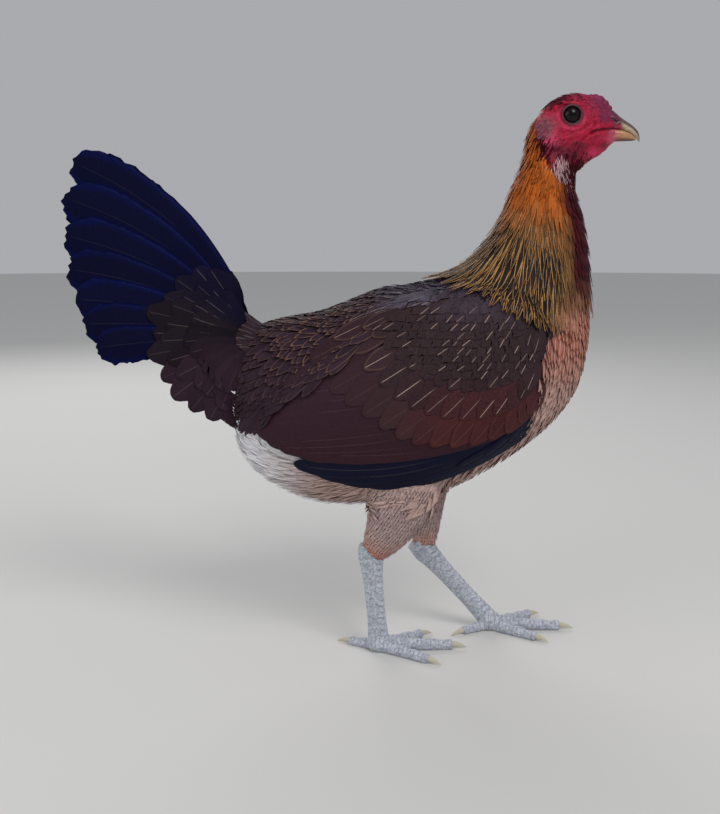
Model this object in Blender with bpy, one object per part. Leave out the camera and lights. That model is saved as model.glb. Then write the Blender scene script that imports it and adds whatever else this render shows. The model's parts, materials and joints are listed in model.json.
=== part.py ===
"""A life-size still model of a game hen, walking, her beak towards +X and her left side towards +Y.

Every named size is in millimetres in the bird's side view: x forwards, y to her left, z up from the
floor. MM turns them into metres as each point is made. The last step moves the whole bird so that the
origin lies on the floor under the middle of her box.
"""

import math

import bmesh
import bpy
import numpy as np
from mathutils import Quaternion, Vector
from mathutils.bvhtree import BVHTree

MM = 0.001
GAP = 0.4  # left between touching pieces, a little over 0.3 so that facets keep clear as well
CLOSE = (0.02, 0.008, 0.003, 0.001)  # how close corners are made one after a cut, the first that works

# Torso: rows of dorsal x, z, ventral x, z and half width, from the vent to the base of the neck.
TORSO_REAR = (-97, 200)
TORSO_ROWS = (
    (-88, 228, -90, 172, 26),
    (-71, 243, -84, 148, 38),
    (-50, 249, -66, 128, 47),
    (-28, 253, -38, 115, 53),
    (-7, 261, -8, 111, 57),
    (14, 269, 26, 113, 60),
    (32, 273, 59, 121, 61),
    (46, 276, 92, 137, 60),
    (58, 279, 121, 156, 57),
    (69, 284, 143, 176, 51),
    (78, 290, 158, 200, 45),
    (86, 298, 164, 228, 39),
    (93, 306, 165, 254, 34),
)
TORSO_SIDES, TORSO_RINGS = 24, 17
TORSO_FULLNESS = 2.15

# Neck, under its hackle, from the torso's top face to the back of the head.
NECK_ROWS = (
    (93, 306, 165, 254, 34),
    (101.5, 319.5, 163, 282, 28),
    (107, 335, 158.6, 311, 24),
    (112, 349.5, 151.8, 334.6, 20.5),
    (116, 362, 151, 344.3, 18),
    (118, 374, 150.3, 349.8, 16.5),
)
NECK_SIDES, NECK_RINGS = 20, 8
# Hackle tiers, the lowest first: place on the neck (0 at its base), length, half width and count.
HACKLE_TIERS = (
    (0.24, 64, 10.2, 11),
    (0.52, 54, 9.8, 9),
    (0.86, 50, 8.0, 9),
)
HACKLE_RISE = (2.0, 3.8)
HACKLE_REACH = 146  # degrees round the neck to each side of its back
HACKLE_SHAPE = ((0, 0.45), (0.5, 1.0), (0.84, 0.7))

# Every feather's blade: thickness, height of its shaft and how far it rolls over its neighbour.
VANE_THICK, VANE_SHAFT = 0.54, 0.15
LONG_ROLL, SHORT_ROLL = 0.9, 0.6
ROOT_DEPTH = 5.3
# Outlines of round-tipped feathers: places along, and the share of the width reached there.
ROUND_SHAPE = ((0, 0.35), (0.5, 0.9), (0.9, 0.86))
LONG_SHAPE = ((0, 0.25), (0.35, 0.58), (0.75, 1.0), (0.95, 0.78))

# Head, from the neck's top face to the root of the beak.
HEAD_ROWS = (
    (117.5, 374.5, 150.8, 349.4, 16.2),
    (122, 386, 152, 351.8, 16.4),
    (129, 395, 154.6, 353.6, 16.6),
    (138, 401, 157.8, 356.6, 16.4),
    (148, 404, 162, 359.3, 15.4),
    (157, 403, 166.5, 361.6, 13.0),
    (165, 399.3, 170.7, 365, 10.2),
    (171, 395.4, 173.6, 368, 7.4),
)
HEAD_SIDES, HEAD_RINGS = 20, 9
EYE_AT = (144.5, 10.4, 388)
EYE_RADIUS = 7.2
EYE_SEGMENTS, EYE_RINGS = 12, 8
LID_RADIUS, LID_THICKNESS, LID_Y = 6.0, 1.2, 14.9
EAR_AT, EAR_SIZE = (127, 16.5, 380), (3.2, 2.0, 3.6)
# The line of the mouth: where it starts, and the length, depth and height of its cutter.
MOUTH_CORNER, MOUTH_SIZE = (157.5, 379), (18, 14, 0.6)

MOUTH_OUT = 15.5  # how far from the middle the cutter's own middle lies

# Beak: rows of upper x, z, lower x, z and half width.
UPPER_BEAK_ROWS = (
    (165, 398, 164, 380.2, 6.5),
    (171.4, 395.4, 171, 380.2, 6.6),
    (176.5, 391.6, 176.5, 380.2, 6.0),
    (181.4, 387.6, 182, 379.9, 5.0),
    (189, 383.3, 187.5, 378.4, 3.8),
    (194, 379.3, 191.5, 375.8, 2.4),
)
UPPER_BEAK_TIP = (195.4, 371.5)
LOWER_BEAK_ROWS = (
    (164, 379.6, 166, 369, 5.6),
    (171, 379.6, 172, 370.8, 5.6),
    (177, 379.5, 178, 371.6, 4.8),
    (183, 379.1, 184, 371.8, 3.7),
    (188, 377.2, 189, 372.0, 2.6),
)
LOWER_BEAK_TIP = (192.4, 372.9)
BEAK_SIDES = 10
NOSTRIL_AT, NOSTRIL_SIZE = (175.8, 5.6, 385.8), (2.8, 1.6, 1.0)

COMB_BUMPS = ((160.5, 401.8, 2.2), (164.0, 401.1, 2.6), (167.4, 399.5, 2.9), (170.5, 396.7, 2.8))
COMB_HALF_WIDTH = 2.6
WATTLE_AT, WATTLE_SIZE = (160.5, 6.2, 362.5), (5.6, 2.2, 4.0)
EARLOBE_AT, EARLOBE_SIZE = (128.5, 15.2, 369.5), (4.2, 2.2, 6.0)

# Wing: how far its feathers' sheet stands off the body, and rows of x, top z, bottom z and the share
# of that distance which is reached there.
WING_THICKNESS = 6.5
WING_ROWS = (
    (-75, 178, 164, 0.45),
    (-60, 194, 155, 0.75),
    (-38, 211, 147, 0.90),
    (-5, 238, 141, 1.0),
    (35, 261, 141, 1.0),
    (75, 268, 152, 1.0),
    (104, 263, 171, 0.95),
    (119, 252, 190, 0.80),
    (127, 238, 210, 0.50),
)
WING_INSIDE = 20
WING_STEPS = 10
WING_FALL = 0.35  # how much nearer the body the sheet is at the wing's edges
CORE_DIP = 1.2  # how far the wing's body keeps under the sheet
# Flight feathers: root x, z, tip x, z, half width and rise from the sheet, the lowest first.
PRIMARIES = (
    (100, 168, 18, 136, 6, -2.4),
    (98, 172, -10, 138, 7, -1.3),
    (96, 176, -36, 143.5, 8, -0.2),
)
SECONDARIES = (
    (79, 169, -20, 145, 9.0, 1.0),
    (72, 177, -46, 151, 9.5, 1.0),
    (64, 185, -63, 159, 10.0, 1.0),
    (54, 195, -73, 170, 10.5, 1.0),
    (42, 206, -70, 183, 11.0, 1.0),
    (28, 217, -57, 197, 11.5, 1.0),
    (12, 227, -36, 213, 12.0, 1.0),
)
# Covert rows: count, half width, rises near the root and at the tip, and places along the row, each
# of tip x, z, heading up and length.
COVERT_ROWS = (
    (8, 13.5, (3.5, 3.5), (
        (-34, 222, 28, 40), (-20, 203, 30, 42), (2, 188, 34, 44), (24, 172, 38, 44),
        (47, 164, 44, 40), (74, 163, 50, 36), (100, 169, 58, 30), (114, 180, 66, 26),
    )),
    (6, 13.5, (3.5, 5.7), (
        (-18, 236, 26, 34), (4, 217, 30, 34), (26, 198, 36, 34), (48, 189, 42, 32),
        (74, 186, 50, 30), (97, 192, 58, 26), (110, 204, 66, 22),
    )),
)

# Tail: its root, and the cone-like sheets on which the feathers of each side lie.
TAIL_ROOT = (-75, 236)
TAIL_TOP_ANGLE = 50
TAIL_RIDGE_Y, TAIL_SPREAD, TAIL_OPEN_TO = 7.0, 0.24, 60
TAIL_BASE_ROWS = (
    (-62, 240, -62, 190, 25),
    (-80, 250, -84, 168, 27),
    (-95, 262, -104, 175, 21),
    (-108, 268, -120, 188, 15),
    (-120, 262, -132, 205, 10),
)
TAIL_BASE_END = (-138, 236)
# Main feathers of a side, the lowest first: angle above the level at the tip and reach from the root.
TAIL_FEATHERS = (
    (-3, 108.5), (5, 118), (12.5, 126), (20.5, 137), (28.5, 149), (36.5, 163), (44, 174.5),
)
TAIL_HALF_WIDTH, TAIL_BEND, TAIL_START = 17, 18, 34
# Tail covert rows: count, half width, rises near the root and at the tip, start, reach and the angles
# of the lowest and the highest. The second table gives the share of that reach at some angles.
TAIL_COVERT_ROWS = (
    (9, 13, (1.5, 2.9), 30, 76, -74, 58),
    (5, 12, (1.5, 4.8), 18, 50, -62, 50),
)
TAIL_COVERT_SHARES = ((-74, -45, -10, 6, 24, 58), (0.83, 0.86, 0.93, 0.97, 0.92, 0.86))

TAIL_BASE_SIDES, TAIL_BASE_RINGS = 18, 7

# Legs: rows of centre x, y, z, half depth and half width, from the body down.
THIGH_ROWS = {
    "right": ((35, -31, 146, 30, 16), (29, -30, 121, 25, 16), (23, -27, 104, 20, 15),
              (16, -23, 90, 15, 12), (10, -20, 80, 10.5, 9)),
    "left": ((48, 32, 140, 28, 16), (50, 34, 112, 19, 15), (50, 33, 94, 15, 13),
             (50, 31, 79, 12, 10.5), (50, 30.5, 69, 9.5, 8.5)),
}
THIGH_SIDES, THIGH_RINGS = 16, 7
HOCK_AT = {"right": (8, -19.5, 76.5), "left": (50.5, 30, 65.5)}
ANKLE_AT = {"right": (14, -9, 8), "left": (102, 33, 8)}
TOE_TURN = {"right": 2, "left": 2}
SHANK_ROWS = (  # place from hock to ankle, half depth and half width
    (-0.14, 8.0, 6.5), (0.0, 9.6, 7.4), (0.12, 8.2, 6.4), (0.3, 7.2, 5.6), (0.7, 6.8, 5.4), (0.9, 7.4, 6.0),
)
SHANK_SIDES, SHANK_SCUTES, SCUTE_STEP = 10, 9, 0.7
TOE_SCUTES = {"inner": 4, "middle": 6, "outer": 5, "back": 2}
# Toes: heading from straight ahead towards the body's inner side, length and half thickness.
TOES = {
    "inner": (34, 40, 4.1),
    "middle": (0, 54, 4.5),
    "outer": (-36, 42, 4.1),
    "back": (150, 24, 3.6),
}
TOE_SIDES = 7
TOE_SCUTE_STEP, PLATE_LIP = 0.5, 0.2
TOE_SWELL = ((0.0, 1.15), (0.2, 1.0), (0.4, 1.12), (0.6, 0.9), (0.8, 1.0), (1.0, 0.75))
TOE_SINK = 0.86  # how high the middle of a toe lies, as a share of its half thickness
BALL_HEIGHT, BALL_SIZE = 6.5, (9, 8, 8)  # the ball of the foot, under the shank
# Claws: rows of place along, rise and share of the radius.
CLAW_LENGTH, CLAW_RADIUS, CLAW_SIDES = 11, 2.2, 7
CLAW_ROWS = ((-0.25, 0.0, 0.95), (0.0, 0.2, 1.0), (0.35, 0.0, 0.8), (0.7, -0.7, 0.5))
CLAW_TIP_HEIGHT = 0.5
FLOOR_CUTTER = (300, 300, 20)  # takes off what would lie under the floor

COLOURS = {
    "breast": (0.42, 0.22, 0.13), "hackle": (0.50, 0.33, 0.12), "face": (0.48, 0.05, 0.07),
    "horn": (0.55, 0.50, 0.38), "eye": (0.10, 0.03, 0.02), "wing": (0.14, 0.07, 0.05),
    "tail": (0.015, 0.02, 0.045), "shank": (0.62, 0.62, 0.60),
}


def point(x, y, z):
    """A point given in millimetres."""
    return Vector((x, y, z)) * MM


def material(name):
    """The plain material of that name, made once."""
    found = bpy.data.materials.get(name)
    if found:
        return found
    made = bpy.data.materials.new(name)
    made.use_nodes = True
    shader = made.node_tree.nodes["Principled BSDF"]
    shader.inputs["Base Color"].default_value = (*COLOURS[name], 1.0)
    shader.inputs["Roughness"].default_value = 0.2 if name == "eye" else 0.6
    shader.inputs["Metallic"].default_value = 0.0
    return made


def add_object(name, mesh_in_work, finish):
    """Puts a finished bmesh in the bird's collection as a named object."""
    mesh = bpy.data.meshes.new(name)
    mesh_in_work.to_mesh(mesh)
    mesh_in_work.free()
    obj = bpy.data.objects.new(name, mesh)
    obj.data.materials.append(material(finish))
    bpy.data.collections["game_hen"].objects.link(obj)
    return obj


def between_rows(rows, count):
    """Rows spaced evenly along a smooth curve through the named rows."""
    made = []
    for step in range(count):
        place = step * (len(rows) - 1) / (count - 1)
        first = min(int(place), len(rows) - 2)
        t = place - first
        before, start, end, after = (
            rows[min(max(first + k, 0), len(rows) - 1)] for k in (-1, 0, 1, 2)
        )
        made.append(tuple(
            b + 0.5 * t * (c - a + t * (2 * a - 5 * b + 4 * c - d + t * (3 * (b - c) + d - a)))
            for a, b, c, d in zip(before, start, end, after)
        ))
    return made


def oval(centre, tall, wide, sides, fullness=2.0):
    """A ring of points about a centre, from the tips of its tall and wide half axes."""
    power = 2 / fullness
    ring = []
    for k in range(sides):
        angle = 2 * math.pi * k / sides
        up, out = math.cos(angle), math.sin(angle)
        ring.append(
            centre
            + tall * math.copysign(abs(up) ** power, up)
            + wide * math.copysign(abs(out) ** power, out)
        )
    return ring


def body_ring(row, sides, fullness=2.0):
    """The section through a dorsal and a ventral point of the side view."""
    top_x, top_z, low_x, low_z, half_width = row
    top, low = point(top_x, 0, top_z), point(low_x, 0, low_z)
    return oval((top + low) / 2, (top - low) / 2, point(0, half_width, 0), sides, fullness)


def loft(rings, start=None, end=None):
    """A closed skin over rings of equal count, whose ends are flat, or drawn to a point if one is given."""
    bm = bmesh.new()
    loops = [[bm.verts.new(p) for p in ring] for ring in rings]
    count = len(loops[0])
    for low, high in zip(loops, loops[1:]):
        for k in range(count):
            n = (k + 1) % count
            bm.faces.new((low[k], low[n], high[n], high[k]))
    for loop, pole in ((loops[0], start), (loops[-1], end)):
        if pole is None:
            bm.faces.new(loop)
            continue
        tip = bm.verts.new(pole)
        for k in range(count):
            bm.faces.new((loop[k], loop[(k + 1) % count], tip))
    bmesh.ops.recalc_face_normals(bm, faces=bm.faces)
    return bm


def limb_rings(rows, sides):
    """Rings square to a line of centres: rows of centre x, y, z, half depth and half width."""
    centres = [point(*row[:3]) for row in rows]
    rings = []
    for k, row in enumerate(rows):
        along = (centres[min(k + 1, len(rows) - 1)] - centres[max(k - 1, 0)]).normalized()
        depth = Vector((0, 1, 0)).cross(along).normalized()
        width = along.cross(depth)
        rings.append(oval(centres[k], depth * row[3] * MM, width * row[4] * MM, sides))
    return rings


def ellipsoid(at, size, segments=14, rings=9):
    """A closed ellipsoid with its half sizes along x, y and z."""
    bm = bmesh.new()
    bmesh.ops.create_uvsphere(bm, u_segments=segments, v_segments=rings, radius=1)
    bmesh.ops.scale(bm, vec=Vector(size) * MM, verts=bm.verts)
    bmesh.ops.translate(bm, vec=point(*at), verts=bm.verts)
    return bm


def is_closed(mesh):
    """Whether each edge of a mesh has two faces."""
    count = {}
    for face in mesh.polygons:
        for key in face.edge_keys:
            count[key] = count.get(key, 0) + 1
    return bool(count) and set(count.values()) == {2}


def combine(obj, pieces, operation):
    """Joins the pieces to an object or cuts them from it, and removes them.

    The manifold solver is tried first, because it keeps thin blades closed.
    """
    held = bpy.data.collections.new("held")
    bpy.context.scene.collection.children.link(held)
    for k, piece in enumerate(pieces):
        mesh = bpy.data.meshes.new(f"held_{k}")
        piece.to_mesh(mesh)
        piece.free()
        held.objects.link(bpy.data.objects.new(f"held_{k}", mesh))
    boolean = obj.modifiers.new(operation.title(), "BOOLEAN")
    boolean.operand_type = "COLLECTION"
    boolean.collection = held
    boolean.operation = operation
    for solver in ("MANIFOLD", "EXACT"):
        boolean.solver = solver
        bpy.context.view_layer.update()
        graph = bpy.context.evaluated_depsgraph_get()
        made = bpy.data.meshes.new_from_object(obj.evaluated_get(graph))
        if is_closed(made):
            break
        print(obj.name, operation, solver, "left an open mesh")
    old = obj.data
    obj.data = made
    obj.modifiers.clear()
    bpy.data.meshes.remove(old)
    for piece in list(held.objects):
        bpy.data.meshes.remove(piece.data)
    bpy.data.collections.remove(held)
    keep_largest(obj)
    for within in CLOSE:
        if join_close(obj, within):
            break


def surfaces_of(bm):
    """The separate surfaces of a mesh, each as a list of faces."""
    left, found = set(bm.faces), []
    while left:
        queue, part = [left.pop()], []
        while queue:
            face = queue.pop()
            part.append(face)
            for edge in face.edges:
                for other in edge.link_faces:
                    if other in left:
                        left.discard(other)
                        queue.append(other)
        found.append(part)
    return found


def keep_largest(obj):
    """Drops every closed surface of an object but the one with the longest box."""
    bm = bmesh.new()
    bm.from_mesh(obj.data)

    def reach(part):
        corners = [v.co for face in part for v in face.verts]
        return sum(max(c[k] for c in corners) - min(c[k] for c in corners) for k in range(3))

    parts = sorted(surfaces_of(bm), key=reach)
    spare = [face for part in parts[:-1] for face in part]
    bmesh.ops.delete(bm, geom=spare, context="FACES")
    bm.to_mesh(obj.data)
    bm.free()


def join_close(obj, within):
    """Makes corners of an object that lie a hair apart into one, unless that would open its surface."""
    bm = bmesh.new()
    bm.from_mesh(obj.data)
    bmesh.ops.triangulate(bm, faces=bm.faces[:])
    target = bmesh.ops.find_doubles(bm, verts=bm.verts[:], dist=within * MM)["targetmap"]
    triangles, edges = {}, {}
    for face in bm.faces:
        corners = [target.get(vert, vert).index for vert in face.verts]
        key = frozenset(corners)
        if len(key) < 3:
            continue
        if triangles.pop(key, None) is None:
            triangles[key] = corners
    for corners in triangles.values():
        for edge in zip(corners, corners[1:] + corners[:1]):
            edges[edge] = edges.get(edge, 0) + 1
    closed = all(count == 1 and (b, a) in edges for (a, b), count in edges.items())
    if closed:
        kept = sorted({k for key in triangles for k in key})
        place = {k: i for i, k in enumerate(kept)}
        bm.verts.ensure_lookup_table()
        points = [bm.verts[k].co.copy() for k in kept]
        faces = [[place[k] for k in corners] for corners in triangles.values()]
        obj.data.clear_geometry()
        obj.data.from_pydata(points, [], faces)
    bm.free()
    return closed


def grown(obj, by=GAP):
    """A copy of an object's mesh whose surface lies a little further out."""
    bm = bmesh.new()
    bm.from_mesh(obj.data)
    bm.normal_update()
    for vert in bm.verts:
        vert.co += vert.normal * by * MM
    return bm


def tree_of(*objects):
    """A search tree over the surfaces of several objects."""
    points, faces = [], []
    for obj in objects:
        start = len(points)
        points += [vert.co.copy() for vert in obj.data.vertices]
        faces += [[k + start for k in face.vertices] for face in obj.data.polygons]
    return BVHTree.FromPolygons(points, faces)


def sheet_tree(place, rows, columns, side):
    """A search tree over a grid of places, whose normals point away from the bird's middle."""
    points = [place(i / (rows - 1), j / (columns - 1)) for i in range(rows) for j in range(columns)]
    faces = []
    for i in range(rows - 1):
        for j in range(columns - 1):
            a, b = i * columns + j, (i + 1) * columns + j
            for face in ((a, b, b + 1), (a, b + 1, a + 1)):
                normal = (points[face[1]] - points[face[0]]).cross(points[face[2]] - points[face[0]])
                faces.append(face if normal.y * side > 0 else face[::-1])
    return BVHTree.FromPolygons(points, faces)


def stops(shape):
    """The places along a feather at which its outline is given, and its tip."""
    return [place for place, _ in shape] + [1]


def walk(tree, start, heading, length, places):
    """Steps over a surface in one direction: the spots at the given places along the way."""
    spot, out = tree.find_nearest(start)[:2]
    path = [spot]
    for low, high in zip(places, places[1:]):
        heading = (heading - out * heading.dot(out)).normalized()
        spot, out = tree.find_nearest(spot + heading * length * (high - low) * MM)[:2]
        path.append(spot)
    return path


def vane(tree, path, shape, half_width, rises, roll):
    """One feather's blade along a path over a surface: thin, closed, its root sunk and its tip drawn in.

    The path holds one place more than the shape, for the tip. The rises are the blade's heights over the
    surface at its root and its tip. The roll lifts its left edge, seen along the path, over its neighbour
    and lets its right edge dip under the other one.
    """
    bm = bmesh.new()
    rings = []
    last = len(path) - 1
    for k, (place, share) in enumerate(shape):
        out = tree.find_nearest(path[k])[1]
        along = path[min(k + 1, last)] - path[max(k - 1, 0)]
        across = out.cross(along).normalized()
        thick = VANE_THICK * (1 if k < last - 1 else 0.9)
        upper, lower = [], []
        for s in (-1, 0, 1):
            spot, up = tree.find_nearest(path[k] + across * half_width * share * s * MM)[:2]
            height = rises[0] + (rises[1] - rises[0]) * place + roll * s - (ROOT_DEPTH if k == 0 else 0)
            upper.append(spot + up * (height + thick / 2 + (VANE_SHAFT if s == 0 else 0)) * MM)
            lower.append(spot + up * (height - thick / 2) * MM)
        rings.append([bm.verts.new(p) for p in upper + lower[::-1]])
    spot, up = tree.find_nearest(path[last])[:2]
    tip = bm.verts.new(spot + up * rises[1] * MM)
    for low, high in zip(rings, rings[1:]):
        for k in range(6):
            n = (k + 1) % 6
            # The same way across on both faces, mirrored, so that they stay as far apart.
            if k in (0, 3, 5):
                bm.faces.new((low[k], low[n], high[n]))
                bm.faces.new((low[k], high[n], high[k]))
            else:
                bm.faces.new((low[k], low[n], high[k]))
                bm.faces.new((low[n], high[n], high[k]))
    end = rings[-1]
    for k in range(6):
        bm.faces.new((end[k], end[(k + 1) % 6], tip))
    root = rings[0]
    for quad in ((0, 1, 4, 5), (1, 2, 3, 4)):
        bm.faces.new([root[k] for k in quad])
    bmesh.ops.recalc_face_normals(bm, faces=bm.faces)
    return bm


def mirrored(at, side):
    """A place named for the left side, taken to either side."""
    return (at[0], at[1] * side, at[2])


def lifted(row, by):
    """A body row moved towards the head by a gap, square to its own plane."""
    top_x, top_z, low_x, low_z, half_width = row
    tall = math.hypot(top_x - low_x, top_z - low_z)
    ahead_x, ahead_z = (low_z - top_z) / tall, (top_x - low_x) / tall
    move = -by if ahead_z < 0 else by
    return (
        top_x + ahead_x * move, top_z + ahead_z * move,
        low_x + ahead_x * move, low_z + ahead_z * move, half_width,
    )


def build_torso():
    rows = between_rows(TORSO_ROWS, TORSO_RINGS)
    rings = [body_ring(row, TORSO_SIDES, TORSO_FULLNESS) for row in rows]
    return add_object("torso", loft(rings, start=point(TORSO_REAR[0], 0, TORSO_REAR[1])), "breast")


def build_neck():
    rows = between_rows(NECK_ROWS, NECK_RINGS)
    rows[0] = lifted(rows[0], GAP)
    return add_object("neck", loft([body_ring(row, NECK_SIDES) for row in rows]), "hackle")


def neck_place(place, angle):
    """A point of the neck's surface: its place from the base, and its angle round from the back."""
    rows = between_rows(NECK_ROWS, 21)
    row = rows[round(place * 20)]
    turn = math.radians(angle)
    top, low = point(row[0], 0, row[1]), point(row[2], 0, row[3])
    half = (top - low) / 2
    return (top + low) / 2 + half * math.cos(turn) + point(0, row[4], 0) * math.sin(turn)


def add_hackle(neck, others):
    """The long pointed feathers of the neck, in tiers that fall over the shoulders."""
    tree = tree_of(neck, *others)
    blades = []
    for place, length, half_width, count in HACKLE_TIERS:
        for k in range(count):
            angle = HACKLE_REACH * (2 * (k + 0.5) / count - 1)
            start = neck_place(place, angle)
            heading = neck_place(max(place - 0.15, 0), angle) - start
            front = 1 - 0.35 * (abs(angle) / HACKLE_REACH) ** 2
            roll = SHORT_ROLL * ((angle < -1) - (angle > 1))
            path = walk(tree, start, heading, length * front, stops(HACKLE_SHAPE))
            blades.append(vane(tree, path, HACKLE_SHAPE, half_width, HACKLE_RISE, roll))
    combine(neck, blades, "UNION")
    cut_clear(neck, others)


def cut_clear(obj, others):
    """Cuts an object back so that a gap is left between it and the others."""
    combine(obj, [grown(other) for other in others], "DIFFERENCE")


def build_head(eyes):
    rows = between_rows(HEAD_ROWS, HEAD_RINGS)
    rows[0] = lifted(rows[0], GAP)
    head = add_object("head", loft([body_ring(row, HEAD_SIDES, 2.2) for row in rows]), "face")
    combine(head, [lid_ring(side) for side in (1, -1)], "UNION")
    hollows = [grown(eye) for eye in eyes]
    hollows += [ellipsoid(mirrored(EAR_AT, side), EAR_SIZE, 8, 5) for side in (1, -1)]
    hollows += [mouth_groove(side) for side in (1, -1)]
    combine(head, hollows, "DIFFERENCE")
    return head


def lid_ring(side):
    """The eyelids of one side, a raised ring about the eye."""
    around, through = 14, 4
    rings = []
    for k in range(around):
        angle = 2 * math.pi * k / around
        spoke = Vector((math.cos(angle), 0, math.sin(angle)))
        centre = point(EYE_AT[0], LID_Y * side, EYE_AT[2]) + spoke * LID_RADIUS * MM
        rings.append(oval(centre, spoke * LID_THICKNESS * MM, point(0, LID_THICKNESS * 1.3, 0), through))
    bm = bmesh.new()
    loops = [[bm.verts.new(p) for p in ring] for ring in rings]
    for k, low in enumerate(loops):
        high = loops[(k + 1) % around]
        for j in range(through):
            n = (j + 1) % through
            bm.faces.new((low[j], low[n], high[n], high[j]))
    bmesh.ops.recalc_face_normals(bm, faces=bm.faces)
    return bm


def mouth_groove(side):
    """A thin cutter for the line of the mouth, from its corner to the beak."""
    bm = bmesh.new()
    bmesh.ops.create_cube(bm, size=1)
    bmesh.ops.scale(bm, vec=point(*MOUTH_SIZE), verts=bm.verts)
    middle = point(MOUTH_CORNER[0] + MOUTH_SIZE[0] / 2, MOUTH_OUT * side, MOUTH_CORNER[1])
    bmesh.ops.translate(bm, vec=middle, verts=bm.verts)
    return bm


def build_beak(head):
    parts = []
    for name, rows, tip in (
        ("beak_upper", UPPER_BEAK_ROWS, UPPER_BEAK_TIP),
        ("beak_lower", LOWER_BEAK_ROWS, LOWER_BEAK_TIP),
    ):
        rings = [body_ring(row, BEAK_SIDES, 2.4) for row in rows]
        beak = add_object(name, loft(rings, end=point(tip[0], 0, tip[1])), "horn")
        combine(beak, [grown(head)], "DIFFERENCE")
        parts.append(beak)
    nostrils = [ellipsoid(mirrored(NOSTRIL_AT, side), NOSTRIL_SIZE, 8, 5) for side in (1, -1)]
    combine(parts[0], nostrils, "DIFFERENCE")
    return parts


def build_comb(head, beak_upper):
    pieces = [
        ellipsoid((x, 0, z), (height * 1.15, COMB_HALF_WIDTH, height), 8, 4)
        for x, z, height in COMB_BUMPS
    ]
    comb = add_object("comb", pieces.pop(0), "face")
    combine(comb, pieces, "UNION")
    combine(comb, [grown(head), grown(beak_upper)], "DIFFERENCE")


def build_face_folds(head, neck):
    """The wattle and the earlobe of each side."""
    for word, side in (("left", 1), ("right", -1)):
        for name, at, size in (
            ("wattle", WATTLE_AT, WATTLE_SIZE),
            ("earlobe", EARLOBE_AT, EARLOBE_SIZE),
        ):
            fold = add_object(f"{name}_{word}", ellipsoid(mirrored(at, side), size, 9, 6), "face")
            cut_clear(fold, [head, neck])


def build_eyes():
    size = (EYE_RADIUS,) * 3
    return [
        add_object(
            f"eye_{word}", ellipsoid(mirrored(EYE_AT, side), size, EYE_SEGMENTS, EYE_RINGS), "eye"
        )
        for word, side in (("left", 1), ("right", -1))
    ]


def wing_edges(x):
    """The top, the bottom and the share of the thickness of the wing at a place along it."""
    x = min(max(x, WING_ROWS[0][0]), WING_ROWS[-1][0])
    for low, high in zip(WING_ROWS, WING_ROWS[1:]):
        if x <= high[0]:
            t = (x - low[0]) / (high[0] - low[0])
            return [a + (b - a) * t for a, b in zip(low[1:], high[1:])]


def wing_out(tree, x, z):
    """How far out the sheet of the wing's feathers lies at a place of the side view."""
    hit = tree.ray_cast(point(x, 200, z), Vector((0, -1, 0)))[0]
    top, low, share = wing_edges(x)
    from_middle = (2 * z - top - low) / (top - low)
    body = hit.y / MM if hit else WING_INSIDE
    return body + WING_THICKNESS * share * (1 - WING_FALL * min(from_middle ** 2, 1.5))


def wing_ring(row, side, tree):
    """A section of the folded wing's body, flat inside and close under the sheet outside."""
    x, top, low, _ = row
    middle, half = (top + low) / 2, (top - low) / 2
    ring = []
    for k in range(WING_STEPS + 1):
        up = math.cos(math.pi * k / WING_STEPS)
        z = middle + half * math.copysign(abs(up) ** 0.9, up)
        dip = CORE_DIP + (WING_THICKNESS - 1) * abs(up) ** 8
        ring.append(point(x, (wing_out(tree, x, z) - dip) * side, z))
    for z in (low + half * 0.4, top - half * 0.4):
        ring.append(point(x, WING_INSIDE * side, z))
    return ring


def side_path(tree, root, tip, side, places):
    """Spots on a sheet along a straight line of the side view."""
    path = []
    for t in places:
        x, z = root[0] + (tip[0] - root[0]) * t, root[1] + (tip[1] - root[1]) * t
        hit = tree.ray_cast(point(x, 200 * side, z), Vector((0, -side, 0)))[0]
        path.append(hit or tree.find_nearest(point(x, 60 * side, z))[0])
    return path


def wing_blades(sheet, side):
    """The flight feathers and coverts of a folded wing, each higher one over the lower ones."""
    blades = []
    for feathers, roll in ((PRIMARIES, 0), (SECONDARIES, LONG_ROLL)):
        for root_x, root_z, tip_x, tip_z, half_width, rise in feathers:
            path = side_path(sheet, (root_x, root_z), (tip_x, tip_z), side, stops(LONG_SHAPE))
            blades.append(vane(sheet, path, LONG_SHAPE, half_width, (rise, rise), roll * side))
    for count, half_width, rises, places in COVERT_ROWS:
        for x, z, heading, length in between_rows(places, count):
            turn = math.radians(heading)
            root = (x + length * math.cos(turn), z + length * math.sin(turn))
            path = side_path(sheet, root, (x, z), side, stops(ROUND_SHAPE))
            blades.append(vane(sheet, path, ROUND_SHAPE, half_width, rises, SHORT_ROLL * side))
    return blades


def build_wing(word, side, others):
    """The body of a folded wing, without its feathers."""
    torso = tree_of(others[0])
    rings = [wing_ring(row, side, torso) for row in between_rows(WING_ROWS, 13)]
    wing = add_object(f"wing_{word}", loft(rings), "wing")
    cut_clear(wing, others)
    return wing


def add_wing_feathers(wing, side, others):
    torso = tree_of(others[0])

    def place(along, up):
        x = WING_ROWS[0][0] - 14 + along * (WING_ROWS[-1][0] - WING_ROWS[0][0] + 24)
        top, low, _ = wing_edges(x)
        z = (top + low) / 2 + (top - low) / 2 * (2.7 * up - 1.35)
        return point(x, wing_out(torso, x, z) * side, z)

    sheet = sheet_tree(place, 19, 13, side)
    combine(wing, wing_blades(sheet, side), "UNION")
    cut_clear(wing, others)


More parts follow.
